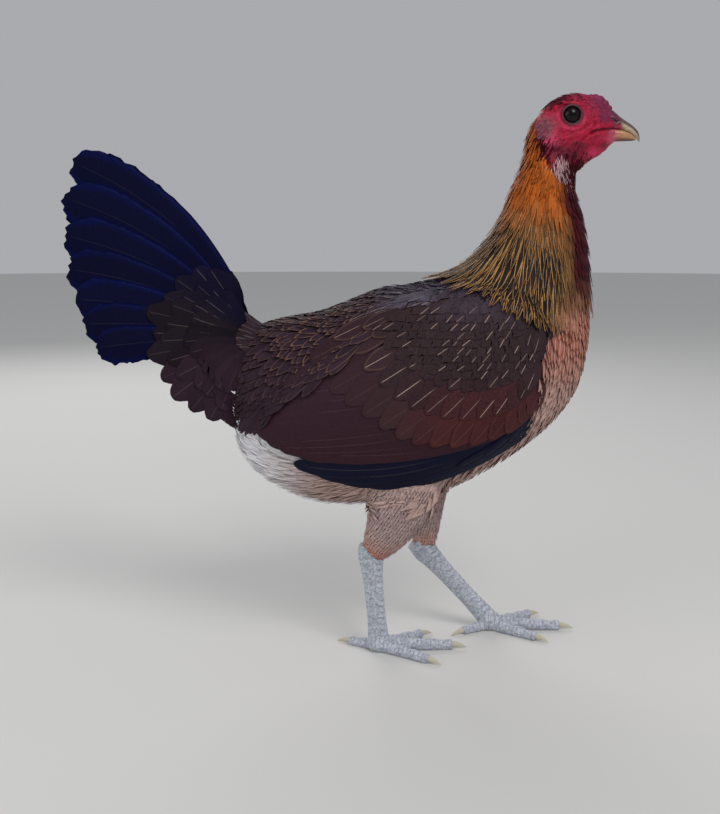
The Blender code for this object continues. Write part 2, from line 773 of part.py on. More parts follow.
def tail_place(reach, angle, side, base=None):
    """A point on the sheet of the tail, or on the tail's base where that lies further out.

    It is named by its distance from the root and its angle above the level.
    """
    turn = math.radians(angle)
    x, z = TAIL_ROOT[0] - reach * math.cos(turn), TAIL_ROOT[1] + reach * math.sin(turn)
    opened = math.radians(min(TAIL_TOP_ANGLE - angle, TAIL_OPEN_TO))
    out = max(TAIL_RIDGE_Y + TAIL_SPREAD * reach * opened, 1.5)
    hit = base.ray_cast(point(x, 200, z), Vector((0, -1, 0)))[0] if base else None
    if hit:
        out = max(out, hit.y / MM)
    return point(x, out * side, z)


def tail_sheet(side, base=None):
    """The surface that one side's tail feathers lie on, as a search tree."""
    def place(along, up):
        return tail_place(200 * along, 175 * up - 100, side, base)

    return sheet_tree(place, 21, 27, side)


def tail_blades(base, side):
    """The main feathers of one side of the tail, and the coverts over their roots."""
    sheet = tail_sheet(side)
    blades = []
    for angle, reach in TAIL_FEATHERS:
        path = []
        for t in stops(LONG_SHAPE):
            bent = angle + TAIL_BEND * (1 - t) * (angle + 8) / 50
            path.append(tail_place(TAIL_START + (reach - TAIL_START) * t, bent, side))
        blades.append(vane(sheet, path, LONG_SHAPE, TAIL_HALF_WIDTH, (0, 0), LONG_ROLL * side))
    base_tree = tree_of(base)
    sheet = tail_sheet(side, base_tree)
    for count, half_width, rises, start, reach, first, last in TAIL_COVERT_ROWS:
        for k in range(count):
            angle = first + (last - first) * k / (count - 1)
            end = reach * float(np.interp(angle, *TAIL_COVERT_SHARES))
            far = [start + (end - start) * t for t in stops(ROUND_SHAPE)]
            path = [tail_place(r, angle, side, base_tree) for r in far]
            blades.append(vane(sheet, path, ROUND_SHAPE, half_width, rises, SHORT_ROLL * side))
    return blades


def build_tail():
    rings = [
        body_ring(row, TAIL_BASE_SIDES) for row in between_rows(TAIL_BASE_ROWS, TAIL_BASE_RINGS)
    ]
    return add_object("tail", loft(rings, end=point(TAIL_BASE_END[0], 0, TAIL_BASE_END[1])), "tail")


def add_tail_feathers(tail, torso):
    combine(tail, tail_blades(tail, 1) + tail_blades(tail, -1), "UNION")
    cut_clear(tail, [torso])


def build_thigh(word, torso):
    rings = limb_rings(between_rows(THIGH_ROWS[word], THIGH_RINGS), THIGH_SIDES)
    thigh = add_object(f"thigh_{word}", loft(rings), "breast")
    combine(thigh, [grown(torso)], "DIFFERENCE")
    return thigh


def scuted_rings(rings, centres, front, step):
    """Rings of a limb with raised plates on its front: each plate rises from one ring to the next.

    Each ring is doubled into the end of one plate, which stands out, and the low start of the next.
    """
    made = []
    along = (centres[-1] - centres[0]).normalized() * PLATE_LIP * MM
    for k, (ring, centre) in enumerate(zip(rings, centres)):
        if k:
            raised = []
            for p in ring:
                out = (p - centre).normalized()
                raised.append(p + out * step * MM * max(out.dot(front), 0) ** 0.5 - along)
            made.append(raised)
        if k < len(rings) - 1:
            made.append([p + along for p in ring])
    return made


def build_shank(word, thigh):
    hock, ankle = Vector(HOCK_AT[word]), Vector(ANKLE_AT[word])
    rows = []
    for t, depth, width in between_rows(SHANK_ROWS, SHANK_SCUTES + 1):
        rows.append((*(hock + (ankle - hock) * t), depth, width))
    down = (ankle - hock).normalized()
    front = Vector((1, 0, 0)) - down * down.x
    centres = [point(*row[:3]) for row in rows]
    rings = scuted_rings(limb_rings(rows, SHANK_SIDES), centres, front.normalized(), SCUTE_STEP)
    shank = add_object(f"shank_{word}", loft(rings), "shank")
    cut_clear(shank, [thigh])
    return shank


def toe_rows(word, toe):
    """Centres and half thickness along a toe, and the heading of the toe."""
    heading, length, thick = TOES[toe]
    inward = 1 if word == "right" else -1
    turn = math.radians(heading + TOE_TURN[word]) * inward
    ankle = Vector(ANKLE_AT[word])
    ahead = Vector((math.cos(turn), math.sin(turn), 0))
    rows = []
    for t, swell in between_rows(TOE_SWELL, TOE_SCUTES[toe] + 1):
        radius = thick * swell
        centre = Vector((ankle.x, ankle.y, 0)) + ahead * length * t
        rows.append((centre.x, centre.y, radius * TOE_SINK, radius))
    return rows, ahead


def build_foot(word, shank):
    """The toes with their plates, their undersides flat on the floor, and their claws."""
    ankle = ANKLE_AT[word]
    ball = ellipsoid((ankle[0], ankle[1], BALL_HEIGHT), BALL_SIZE, 12, 7)
    foot = add_object(f"foot_{word}", ball, "shank")
    pieces, ends = [], []
    for toe in TOES:
        rows, ahead = toe_rows(word, toe)
        across = Vector((-ahead.y, ahead.x, 0))
        centres = [point(*row[:3]) for row in rows]
        rings = [
            oval(centre, point(0, 0, row[3]), across * row[3] * MM, TOE_SIDES)
            for centre, row in zip(centres, rows)
        ]
        pieces.append(loft(scuted_rings(rings, centres, Vector((0, 0, 1)), TOE_SCUTE_STEP)))
        ends.append((toe, rows[-1], ahead))
    combine(foot, pieces, "UNION")
    floor = bmesh.new()
    bmesh.ops.create_cube(floor, size=1)
    bmesh.ops.scale(floor, vec=point(*FLOOR_CUTTER), verts=floor.verts)
    under = point(ankle[0], ankle[1], -FLOOR_CUTTER[2] / 2)
    bmesh.ops.translate(floor, vec=under, verts=floor.verts)
    combine(foot, [floor, grown(shank)], "DIFFERENCE")
    for toe, end, ahead in ends:
        build_claw(f"claw_{word}_{toe}", end, ahead, foot)
    return foot


def build_claw(name, end, ahead, foot):
    x, y, z, _ = end
    across = Vector((-ahead.y, ahead.x, 0))
    rings = []
    for t, rise, radius in CLAW_ROWS:
        centre = point(x, y, z + rise) + ahead * CLAW_LENGTH * t * MM
        size = CLAW_RADIUS * radius * MM
        rings.append(oval(centre, Vector((0, 0, size)), across * size * 0.8, CLAW_SIDES))
    tip = point(x, y, CLAW_TIP_HEIGHT) + ahead * CLAW_LENGTH * MM
    claw = add_object(name, loft(rings, end=tip), "horn")
    cut_clear(claw, [foot])


def set_on_origin():
    """Moves every mesh so that the origin is on the floor under the middle of the bird's box."""
    parts = bpy.data.collections["game_hen"].objects
    corners = [vert.co for part in parts for vert in part.data.vertices]
    middle_x, middle_y = (
        (min(c[k] for c in corners) + max(c[k] for c in corners)) / 2 for k in (0, 1)
    )
    low = min(c.z for c in corners)
    for part in parts:
        for vert in part.data.vertices:
            vert.co -= Vector((middle_x, middle_y, low))
        part.data.shade_smooth()
    print("origin", middle_x, middle_y, low)


def main():
    for obj in list(bpy.data.objects):
        bpy.data.objects.remove(obj)
    bpy.context.scene.collection.children.link(bpy.data.collections.new("game_hen"))
    torso = build_torso()
    neck = build_neck()
    head = build_head(build_eyes())
    beak_upper, _ = build_beak(head)
    build_comb(head, beak_upper)
    build_face_folds(head, neck)
    tail = build_tail()
    sides = []
    for word, side in (("left", 1), ("right", -1)):
        thigh = build_thigh(word, torso)
        sides.append((side, build_wing(word, side, [torso, neck, thigh]), thigh))
        build_foot(word, build_shank(word, thigh))
    add_hackle(neck, [torso, *(wing for _, wing, _ in sides)])
    for side, wing, thigh in sides:
        add_wing_feathers(wing, side, [torso, thigh])
    add_tail_feathers(tail, torso)
    set_on_origin()


main()
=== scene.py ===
"""The looks of a life-size game hen, walking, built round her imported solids.

Named sizes are in millimetres of the hen's side view: x forwards, y to her left, z up from the floor.
Points become metres in the row frame when a mesh is made.
"""

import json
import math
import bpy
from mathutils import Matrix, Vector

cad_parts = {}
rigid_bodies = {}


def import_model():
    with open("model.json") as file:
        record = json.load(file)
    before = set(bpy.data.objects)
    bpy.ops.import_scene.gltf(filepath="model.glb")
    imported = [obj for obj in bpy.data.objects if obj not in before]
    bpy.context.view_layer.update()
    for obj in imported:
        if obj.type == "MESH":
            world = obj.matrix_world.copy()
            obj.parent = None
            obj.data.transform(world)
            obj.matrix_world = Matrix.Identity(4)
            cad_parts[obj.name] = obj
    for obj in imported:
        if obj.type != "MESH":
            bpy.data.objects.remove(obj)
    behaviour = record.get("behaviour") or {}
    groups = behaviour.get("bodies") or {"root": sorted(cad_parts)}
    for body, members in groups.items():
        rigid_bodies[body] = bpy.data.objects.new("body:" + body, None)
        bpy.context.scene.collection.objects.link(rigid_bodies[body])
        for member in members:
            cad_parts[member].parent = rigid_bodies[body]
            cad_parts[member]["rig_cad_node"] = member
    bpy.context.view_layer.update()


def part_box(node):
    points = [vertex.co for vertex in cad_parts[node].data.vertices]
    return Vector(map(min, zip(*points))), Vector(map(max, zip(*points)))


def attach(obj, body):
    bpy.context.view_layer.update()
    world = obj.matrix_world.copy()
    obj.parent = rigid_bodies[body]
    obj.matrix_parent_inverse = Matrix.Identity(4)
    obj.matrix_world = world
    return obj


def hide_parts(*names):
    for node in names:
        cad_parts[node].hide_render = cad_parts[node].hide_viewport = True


bl_info = {
    "name": "Game hen",
    "version": (1, 0, 0),
    "blender": (4, 5, 0),
    "location": "3D View > Sidebar > Game hen",
    "description": "Builds the skin, feathers, eyes, bill, legs and stage of a life-size game hen",
    "category": "Object",
}

import bmesh
import bpy
import numpy as np
from bpy.props import FloatProperty, FloatVectorProperty, PointerProperty
from mathutils import Vector, noise
from mathutils.bvhtree import BVHTree

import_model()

MM = 0.001
SEED = 7

# The camera: where it stands, how far it looks down, and its focal length in the photo's pixels.
CAMERA_AT, CAMERA_PITCH = (0, -720, 304), 9.5
SENSOR_WIDTH, FOCAL_PIXELS, PHOTO_HEIGHT = 36, 1000, 814
CAMERA_LENS = SENSOR_WIDTH * FOCAL_PIXELS / PHOTO_HEIGHT

# Places and sizes that the solids have too.
EYE_AT, EYE_RADIUS = (144.5, 10.4, 388), 7.2
EYE_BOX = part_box("eye_left")
SHIFT = np.array((EYE_BOX[0] + EYE_BOX[1]) / 2) - np.array(EYE_AT) * MM

# Rows of the body from the vent to the bill: dorsal x, z, ventral x, z, half width, fullness of the
# section and depth of the coat over the skin.
BODY_ROWS = (
    (-96.5, 206, -96.8, 194, 6, 2.1, 2.5),
    (-88, 228, -90, 172, 26, 2.15, 3.5),
    (-71, 243, -84, 148, 38, 2.15, 4.5),
    (-50, 249, -66, 128, 47, 2.15, 5.0),
    (-28, 253, -38, 115, 53, 2.15, 5.0),
    (-7, 261, -8, 111, 57, 2.15, 5.0),
    (14, 269, 26, 113, 60, 2.15, 5.0),
    (32, 273, 59, 121, 61, 2.15, 5.0),
    (46, 276, 92, 137, 60, 2.15, 5.0),
    (58, 279, 121, 156, 57, 2.15, 5.0),
    (69, 284, 143, 176, 51, 2.15, 4.6),
    (78, 290, 158, 200, 45, 2.15, 4.2),
    (86, 298, 164, 228, 39, 2.12, 3.6),
    (93, 306, 165, 254, 34, 2.08, 3.0),
    (101.5, 319.5, 163, 282, 28, 2.0, 2.4),
    (107, 335, 158.6, 311, 24, 2.0, 1.6),
    (112, 349.5, 151.8, 334.6, 20.5, 2.0, 1.0),
    (116, 362, 151, 344.3, 18, 2.0, 0.6),
    (117.5, 374.5, 150.8, 349.4, 16.2, 2.1, 0.4),
    (122, 386, 152, 351.8, 16.4, 2.2, 0.2),
    (129, 395, 154.6, 353.6, 16.6, 2.2, 0),
    (138, 401, 157.8, 356.6, 16.4, 2.2, 0),
    (148, 404, 162, 359.3, 15.4, 2.2, 0),
    (157, 403, 166.5, 361.6, 13.0, 2.2, 0),
    (165, 399.3, 170.7, 365, 10.2, 2.2, 0),
    (171, 395.4, 173.6, 368, 7.2, 2.2, 0),
    (176, 391.3, 177, 371, 4.4, 2.2, 0),
)


def at_row(number):
    """The place along the body, from 0 to 1, of a row counted from the vent."""
    return number / (len(BODY_ROWS) - 1)


NECK_BASE, NECK_TOP = at_row(13), at_row(17.6)  # where the hackle starts and ends

THIGH_ROWS = {  # centre x, y, z, half depth and half width
    "right": ((35, -31, 146, 30, 16), (29, -30, 121, 25, 16), (23, -27, 104, 20, 15),
              (16, -23, 90, 15, 12), (10, -20, 80, 10.5, 9)),
    "left": ((48, 32, 140, 28, 16), (50, 34, 112, 19, 15), (50, 33, 94, 15, 13),
             (50, 31, 79, 12, 10.5), (50, 30.5, 69, 9.5, 8.5)),
}
THIGH_COAT = 3.0

WING_THICKNESS, WING_FALL, WING_INSIDE = 6.5, 0.35, 20
BOW_RISE = 4.2  # how far the outermost small feathers of the wing lie over its sheet
WING_ROWS = (  # x, top z, bottom z and share of the thickness
    (-75, 178, 164, 0.45),
    (-60, 194, 155, 0.75),
    (-38, 211, 147, 0.90),
    (-5, 238, 141, 1.0),
    (35, 261, 141, 1.0),
    (75, 268, 152, 1.0),
    (104, 263, 171, 0.95),
    (119, 252, 190, 0.80),
    (127, 238, 210, 0.50),
)

TAIL_ROOT, TAIL_TOP_ANGLE = (-75, 236), 50
TAIL_RIDGE_Y, TAIL_SPREAD, TAIL_OPEN_TO = 7.0, 0.24, 60
TAIL_BASE_ROWS = (
    (-62, 240, -62, 190, 25, 2.0, 3),
    (-80, 250, -84, 168, 27, 2.0, 3),
    (-95, 262, -104, 178, 21, 2.0, 3),
    (-108, 268, -119, 190, 15, 2.0, 3),
    (-120, 262, -132, 205, 10, 2.0, 2),
    (-130, 246, -136, 228, 4, 2.0, 1),
)

rng = np.random.default_rng(SEED)
bodies = {}  # surfaces that feathers are laid on, by name


def named(bpy_colour):
    """A colour property's value as an array."""
    return np.array(bpy_colour[:3], float)


def spline(rows, places):
    """Points of a smooth curve through rows of numbers, at places from 0 to 1."""
    rows = np.asarray(rows, float)
    spot = np.clip(np.asarray(places, float), 0, 1) * (len(rows) - 1)
    first = np.minimum(spot.astype(int), len(rows) - 2)
    t = (spot - first)[..., None]
    a, b, c, d = (rows[np.clip(first + k, 0, len(rows) - 1)] for k in (-1, 0, 1, 2))
    return b + 0.5 * t * (c - a + t * (2 * a - 5 * b + 4 * c - d + t * (3 * (b - c) + d - a)))


def smoothstep(low, high, value):
    """0 below low, 1 above high and a soft rise between."""
    t = np.clip((np.asarray(value, float) - low) / (high - low), 0, 1)
    return t * t * (3 - 2 * t)


def oval(around, fullness):
    """How far up and out a place round a section lies, from the back (0) by the left side (0.25)."""
    turn = 2 * np.pi * np.asarray(around, float)
    power = 2 / fullness
    up, out = np.cos(turn), np.sin(turn)
    return np.sign(up) * np.abs(up) ** power, np.sign(out) * np.abs(out) ** power


def section(rows, along, around, coat=0.0):
    """Spots of a body of such rows; coat 1 gives the skin and coat 0 the tips of its feathers."""
    row = spline(rows, along)
    up, out = oval(around, row[..., 5])
    middle = (row[..., 0:2] + row[..., 2:4]) / 2
    half = (row[..., 0:2] - row[..., 2:4]) / 2
    tall = np.linalg.norm(half, axis=-1)
    depth = row[..., 6] * coat
    share = np.maximum(1 - depth / tall, 0.2)
    wide = np.maximum(row[..., 4] - depth, 0.2 * row[..., 4])
    spot = middle + half * (share * up)[..., None]
    return np.stack([spot[..., 0], wide * out, spot[..., 1]], axis=-1)


def body_at(along, around, coat=0.0):
    return section(BODY_ROWS, along, around, coat)


def limb_at(rows, along, around, coat=0.0):
    """Spots of a limb: rows of centre x, y, z, half depth and half width."""
    row = spline(rows, along)
    ahead = spline(rows, np.asarray(along, float) + 0.02)[..., :3]
    behind = spline(rows, np.asarray(along, float) - 0.02)[..., :3]
    down = ahead - behind
    down /= np.linalg.norm(down, axis=-1, keepdims=True)
    side = np.broadcast_to(np.array((0.0, 1.0, 0.0)), down.shape)
    depth = np.cross(side, down)
    depth /= np.linalg.norm(depth, axis=-1, keepdims=True)
    width = np.cross(down, depth)
    turn = 2 * np.pi * np.asarray(around, float)
    return (
        row[..., :3]
        + depth * ((row[..., 3] - coat) * np.cos(turn))[..., None]
        + width * ((row[..., 4] - coat) * np.sin(turn))[..., None]
    )


def tube(at, rows, columns):
    """A closed mesh over spots given by at(along, around), its two ends filled."""
    bm = bmesh.new()
    bmesh.ops.create_grid(bm, x_segments=columns, y_segments=rows, size=0.5)
    flat = np.array([v.co for v in bm.verts])
    for vert, spot in zip(bm.verts, at(flat[:, 1] + 0.5, flat[:, 0] + 0.5)):
        vert.co = spot
    bmesh.ops.remove_doubles(bm, verts=bm.verts, dist=0.0005)
    bmesh.ops.holes_fill(bm, edges=[e for e in bm.edges if e.is_boundary], sides=0)
    bmesh.ops.recalc_face_normals(bm, faces=bm.faces)
    return bm


def ball(at, size, turn=0.0):
    """A closed ellipsoid with its half sizes along x, y and z, turned in the side view by degrees."""
    bm = bmesh.new()
    bmesh.ops.create_icosphere(bm, subdivisions=3, radius=1)
    bmesh.ops.scale(bm, vec=Vector(size), verts=bm.verts)
    angle = math.radians(turn)
    for vert in bm.verts:
        x, z = vert.co.x, vert.co.z
        vert.co.x = x * math.cos(angle) - z * math.sin(angle)
        vert.co.z = x * math.sin(angle) + z * math.cos(angle)
    bmesh.ops.translate(bm, vec=Vector(at), verts=bm.verts)
    return bm


def join(pieces):
    """One mesh that holds every piece, which are freed."""
    mesh = bpy.data.meshes.new("joined")
    whole = bmesh.new()
    for piece in pieces:
        piece.to_mesh(mesh)
        piece.free()
        whole.from_mesh(mesh)
    whole.to_mesh(mesh)
    whole.free()
    return mesh


def fused(pieces, voxel, rounds):
    """Points, faces and normals of one closed surface over several overlapping ones, smoothed."""
    mesh = join(pieces)
    obj = bpy.data.objects.new("fused", mesh)
    bpy.context.scene.collection.objects.link(obj)
    remesh = obj.modifiers.new("Fuse", "REMESH")
    remesh.mode = "VOXEL"
    remesh.voxel_size = voxel
    smooth = obj.modifiers.new("Smooth", "SMOOTH")
    smooth.iterations = rounds
    made = bpy.data.meshes.new_from_object(obj.evaluated_get(bpy.context.evaluated_depsgraph_get()))
    bpy.data.objects.remove(obj)
    co = np.empty(len(made.vertices) * 3, np.float32)
    made.vertices.foreach_get("co", co)
    normals = np.empty(len(made.vertices) * 3, np.float32)
    made.vertex_normals.foreach_get("vector", normals)
    faces = [tuple(face.vertices) for face in made.polygons]
    bpy.data.meshes.remove(made)
    return co.reshape(-1, 3).astype(float), faces, normals.reshape(-1, 3).astype(float)


def surface_tree(at, rows, columns):
    """A search tree over spots given by at(along, around)."""
    along, around = np.meshgrid(np.linspace(0, 1, rows), np.linspace(0, 1, columns), indexing="ij")
    spots = at(along.ravel(), around.ravel())
    faces = []
    for i in range(rows - 1):
        for j in range(columns - 1):
            a, b = i * columns + j, (i + 1) * columns + j
            faces.append((a, b, b + 1, a + 1))
    return BVHTree.FromPolygons(spots.tolist(), faces)


def add_piece(name, co, faces, material, smooth=True):
    """A finished piece from points in millimetres: an object at the origin that rides on the body."""
    mesh = bpy.data.meshes.new(name)
    points = np.asarray(co, float) * MM + SHIFT
    if isinstance(faces, np.ndarray):
        mesh.vertices.add(len(points))
        mesh.vertices.foreach_set("co", points.astype(np.float32).ravel())
        sides = faces.shape[1]
        mesh.loops.add(faces.size)
        mesh.loops.foreach_set("vertex_index", faces.astype(np.int32).ravel())
        mesh.polygons.add(len(faces))
        mesh.polygons.foreach_set("loop_start", np.arange(0, faces.size, sides, dtype=np.int32))
        mesh.update(calc_edges=True)
    else:
        mesh.from_pydata(points.tolist(), [], faces)
    if smooth:
        mesh.shade_smooth()
    obj = bpy.data.objects.new(name, mesh)
    bpy.context.scene.collection.objects.link(obj)
    mesh.materials.append(material)
    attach(obj, "root")
    return obj


def add_bmesh(name, bm, material):
    """A finished piece from a bmesh in millimetres."""
    co = np.array([v.co for v in bm.verts])
    faces = [tuple(v.index for v in face.verts) for face in bm.faces]
    bm.free()
    return add_piece(name, co, faces, material)


def set_colours(obj, name, colours):
    """A colour at every vertex of a piece, with an alpha of 1 where none is given."""
    if colours.shape[1] == 3:
        colours = np.concatenate([colours, np.ones((len(colours), 1))], axis=1)
    layer = obj.data.color_attributes.new(name, "FLOAT_COLOR", "POINT")
    layer.data.foreach_set("color", colours.astype(np.float32).ravel())


def soften(obj, facing, share):
    """Turns the shading normals of a piece towards the way the surface under it faces."""
    mesh = obj.data
    own = np.empty(len(mesh.vertices) * 3, np.float32)
    mesh.vertex_normals.foreach_get("vector", own)
    turned = own.reshape(-1, 3) * (1 - share) + facing * share
    turned /= np.linalg.norm(turned, axis=1, keepdims=True)
    mesh.normals_split_custom_set_from_vertices(turned.tolist())


def set_map(obj, name, uv):
    """A UV map with one place for each vertex, or for each corner if that many are given."""
    layer = obj.data.uv_layers.new(name=name)
    if len(uv) == len(obj.data.vertices):
        corners = np.empty(len(obj.data.loops), np.int32)
        obj.data.loops.foreach_get("vertex_index", corners)
        uv = uv[corners]
    layer.data.foreach_set("uv", uv.astype(np.float32).ravel())


# Materials


class Nodes:
    """Short ways to add and link the nodes of one tree."""

    def __init__(self, tree):
        self.tree = tree

    def add(self, kind, inputs=(), output=0, **settings):
        """A node with its settings and inputs, given in order or by name; returns one output."""
        node = self.tree.nodes.new(kind)
        for key, value in settings.items():
            setattr(node, key, value)
        named_inputs = inputs.items() if isinstance(inputs, dict) else enumerate(inputs)
        for key, value in named_inputs:
            self.put(node.inputs[key], value)
        return node.outputs[output]

    def put(self, socket, value):
        if value is None:
            return
        if isinstance(value, bpy.types.NodeSocket):
            self.tree.links.new(value, socket)
        elif socket.type == "RGBA":
            socket.default_value = (*value[:3], 1.0)
        else:
            socket.default_value = value

    def math(self, operation, *values):
        return self.add("ShaderNodeMath", values, operation=operation)

    def mix(self, factor, first, second, blend="MIX"):
        node = self.tree.nodes.new("ShaderNodeMix")
        node.data_type = "RGBA"
        node.blend_type = blend
        for key, value in ((0, factor), (6, first), (7, second)):
            self.put(node.inputs[key], value)
        return node.outputs[2]

    def step(self, value, low, high, start=0.0, end=1.0):
        """A soft rise from start to end as the value goes from low to high."""
        return self.add(
            "ShaderNodeMapRange", (value, low, high, start, end), interpolation_type="SMOOTHSTEP"
        )

    def noise(self, vector, scale, detail=2.0, rough=0.5):
        inputs = {"Vector": vector, "Scale": scale, "Detail": detail, "Roughness": rough}
        return self.add("ShaderNodeTexNoise", inputs)

    def bump(self, strength, height, distance=0.0004):
        inputs = {"Strength": strength, "Distance": distance, "Height": height}
        return self.add("ShaderNodeBump", inputs)


def group(name, inputs, outputs):
    """An empty shader group with its sockets: name, kind and default."""
    tree = bpy.data.node_groups.new(name, "ShaderNodeTree")
    for way, sockets in (("INPUT", inputs), ("OUTPUT", outputs)):
        for label, kind, *value in sockets:
            socket = tree.interface.new_socket(label, in_out=way, socket_type=f"NodeSocket{kind}")
            if value:
                socket.default_value = value[0]
    return tree, tree.nodes.new("NodeGroupInput"), tree.nodes.new("NodeGroupOutput")


def vane_group():
    """Colour and relief of a feather, from its own maps and the markings at its vertices.

    Red marks a dark middle, green a line along the rim, blue a pale shaft and alpha speckles.
    """
    tree, given, out = group(
        "Vane",
        (("Shaft", "Color", (0.5, 0.4, 0.34, 1)), ("Grain", "Float", 0.5), ("Root", "Float", 0.45)),
        (("Color", "Color"), ("Height", "Float")),
    )
    n = Nodes(tree)
    place = n.add("ShaderNodeUVMap", uv_map="Vane")
    u = n.add("ShaderNodeSeparateXYZ", (place,))
    split = u.node
    across = n.math("ABSOLUTE", n.math("MULTIPLY_ADD", split.outputs[0], 2.0, -1.0))
    along = split.outputs[1]
    real = n.add("ShaderNodeSeparateXYZ", (n.add("ShaderNodeUVMap", uv_map="Barbs"),)).node
    reach = n.math("ABSOLUTE", real.outputs[0])
    barb = n.math("MULTIPLY_ADD", reach, -0.8, real.outputs[1])
    seed = n.add("ShaderNodeAttribute", output=2, attribute_name="Seed")
    strand = n.add(
        "ShaderNodeCombineXYZ", (barb, n.math("MULTIPLY", reach, 0.16), n.math("MULTIPLY", seed, 40.0))
    )
    coarse = n.noise(strand, 1.3, 2.0, 0.6)
    fine = n.noise(strand, 4.2, 2.0, 0.6)
    tint = n.add("ShaderNodeAttribute", attribute_name="Tint")
    mark = n.add("ShaderNodeAttribute", attribute_name="Mark")
    marks = n.add("ShaderNodeAttribute", attribute_name="Marks").node
    parts = n.add("ShaderNodeSeparateColor", (marks.outputs[0],)).node
    # A dark middle that narrows to the tip.
    width = n.step(along, 0.8, 1.0, 0.74, 0.5)
    uneven = n.math("MULTIPLY_ADD", coarse, 0.25, n.math("ADD", across, -0.12))
    middle = n.math("SUBTRACT", 1.0, n.step(n.math("DIVIDE", uneven, width), 0.8, 1.15))
    middle = n.math("MULTIPLY", middle, parts.outputs[0])
    # A thin line just inside the rim.
    rim = n.math("ADD", n.math("POWER", across, 2.0), n.math("POWER", along, 6.0))
    rim = n.math("MULTIPLY_ADD", coarse, 0.12, rim)
    line = n.math("MULTIPLY", n.step(rim, 0.62, 0.74), n.step(rim, 0.98, 0.86))
    line = n.math("MULTIPLY", line, parts.outputs[1])
    # The shaft.
    shaft = n.math("MULTIPLY", n.step(reach, 0.34, 0.16), n.step(along, 0.97, 0.9))
    shaft = n.math("MULTIPLY", shaft, n.step(along, 0.35, 0.55))
    shaft = n.math("MULTIPLY", shaft, n.step(fine, 0.3, 0.5, 0.35, 1.0))
    # Speckles.
    coords = n.add("ShaderNodeTexCoord", output="Object")
    specks = n.step(n.noise(coords, 900.0, 2.0, 0.7), 0.52, 0.62)
    specks = n.math("MULTIPLY", specks, marks.outputs["Alpha"])
    shade = n.math("MULTIPLY_ADD", n.math("ADD", coarse, fine), given.outputs["Grain"], 1.0)
    shade = n.math("SUBTRACT", shade, given.outputs["Grain"])
    colour = n.mix(n.math("MAXIMUM", middle, n.math("MAXIMUM", line, specks)), tint, mark)
    # Darker towards its root: painted shade of the feathers that lie over it, and the greyer down there
    dark = n.math("MULTIPLY", shade, n.step(along, 0.0, 0.5, given.outputs["Root"], 1.0))
    colour = n.mix(1.0, colour, n.add("ShaderNodeCombineXYZ", (dark, dark, dark)), "MULTIPLY")
    colour = n.mix(n.math("MULTIPLY", shaft, parts.outputs[2]), colour, given.outputs["Shaft"])
    n.put(out.inputs["Color"], colour)
    height = n.math("MULTIPLY_ADD", shaft, 0.6, n.math("ADD", coarse, n.math("MULTIPLY", fine, 0.6)))
    n.put(out.inputs["Height"], height)
    return tree


def feather_material(name, shaft, grain=0.5, root=0.6, rough=0.65, bump=0.35, sheen=0.0, gloss=0.12):
    """The finish of one kind of feather."""
    material = bpy.data.materials.new(name)
    material.use_nodes = True
    tree = material.node_tree
    n = Nodes(tree)
    shader = tree.nodes["Principled BSDF"]
    vane = tree.nodes.new("ShaderNodeGroup")
    vane.node_tree = bpy.data.node_groups.get("Vane") or vane_group()
    n.put(vane.inputs["Shaft"], shaft)
    vane.inputs["Grain"].default_value = grain
    # How dark the feather is at its root: painted shade of the feathers over it, and its greyer down
    vane.inputs["Root"].default_value = root
    n.put(shader.inputs["Base Color"], vane.outputs["Color"])
    relief = n.bump(bump, vane.outputs["Height"])
    n.put(shader.inputs["Normal"], relief)
    shader.inputs["Roughness"].default_value = rough
    shader.inputs["Specular IOR Level"].default_value = gloss
    shader.inputs["Sheen Weight"].default_value = sheen
    shader.inputs["Sheen Roughness"].default_value = 0.4
    return material


def flesh_group():
    """Mottled colour and fine folds of bare skin, over the colours at its vertices."""
    tree, given, out = group(
        "Flesh",
        (("Mottle", "Float", 0.35), ("Pores", "Float", 1100.0)),
        (("Color", "Color"), ("Height", "Float")),
    )
    n = Nodes(tree)
    coords = n.add("ShaderNodeTexCoord", output="Object")
    tint = n.add("ShaderNodeAttribute", attribute_name="Tint")
    blotch = n.noise(coords, 260.0, 3.0, 0.6)
    grain = n.add("ShaderNodeTexVoronoi", {"Vector": coords, "Scale": given.outputs["Pores"]})
    folds = n.noise(coords, 700.0, 3.0, 0.65)
    shade = n.math("MULTIPLY_ADD", n.math("SUBTRACT", blotch, 0.5), given.outputs["Mottle"], 1.0)
    shade = n.math("MULTIPLY", shade, n.step(grain, 0.0, 0.5, 0.72, 1.08))
    colour = n.mix(1.0, tint, n.add("ShaderNodeCombineXYZ", (shade, shade, shade)), "MULTIPLY")
    n.put(out.inputs["Color"], colour)
    n.put(out.inputs["Height"], n.math("MULTIPLY_ADD", folds, 0.8, grain))
    return tree


def flesh_material(name, mottle=0.9, pores=1100.0, rough=0.46, bump=0.7, under=0.08, gloss=0.25):
    """Bare skin, or the scaly skin of the legs."""
    material = bpy.data.materials.new(name)
    material.use_nodes = True
    tree = material.node_tree
    n = Nodes(tree)
    shader = tree.nodes["Principled BSDF"]
    flesh = tree.nodes.new("ShaderNodeGroup")
    flesh.node_tree = bpy.data.node_groups.get("Flesh") or flesh_group()
    flesh.inputs["Mottle"].default_value = mottle
    flesh.inputs["Pores"].default_value = pores
    n.put(shader.inputs["Base Color"], flesh.outputs["Color"])
    relief = n.bump(bump, flesh.outputs["Height"])
    n.put(shader.inputs["Normal"], relief)
    shader.inputs["Roughness"].default_value = rough
    shader.inputs["Specular IOR Level"].default_value = gloss
    shader.inputs["Subsurface Weight"].default_value = under
    shader.inputs["Subsurface Radius"].default_value = (0.004, 0.001, 0.0006)
    return material


# Feathers


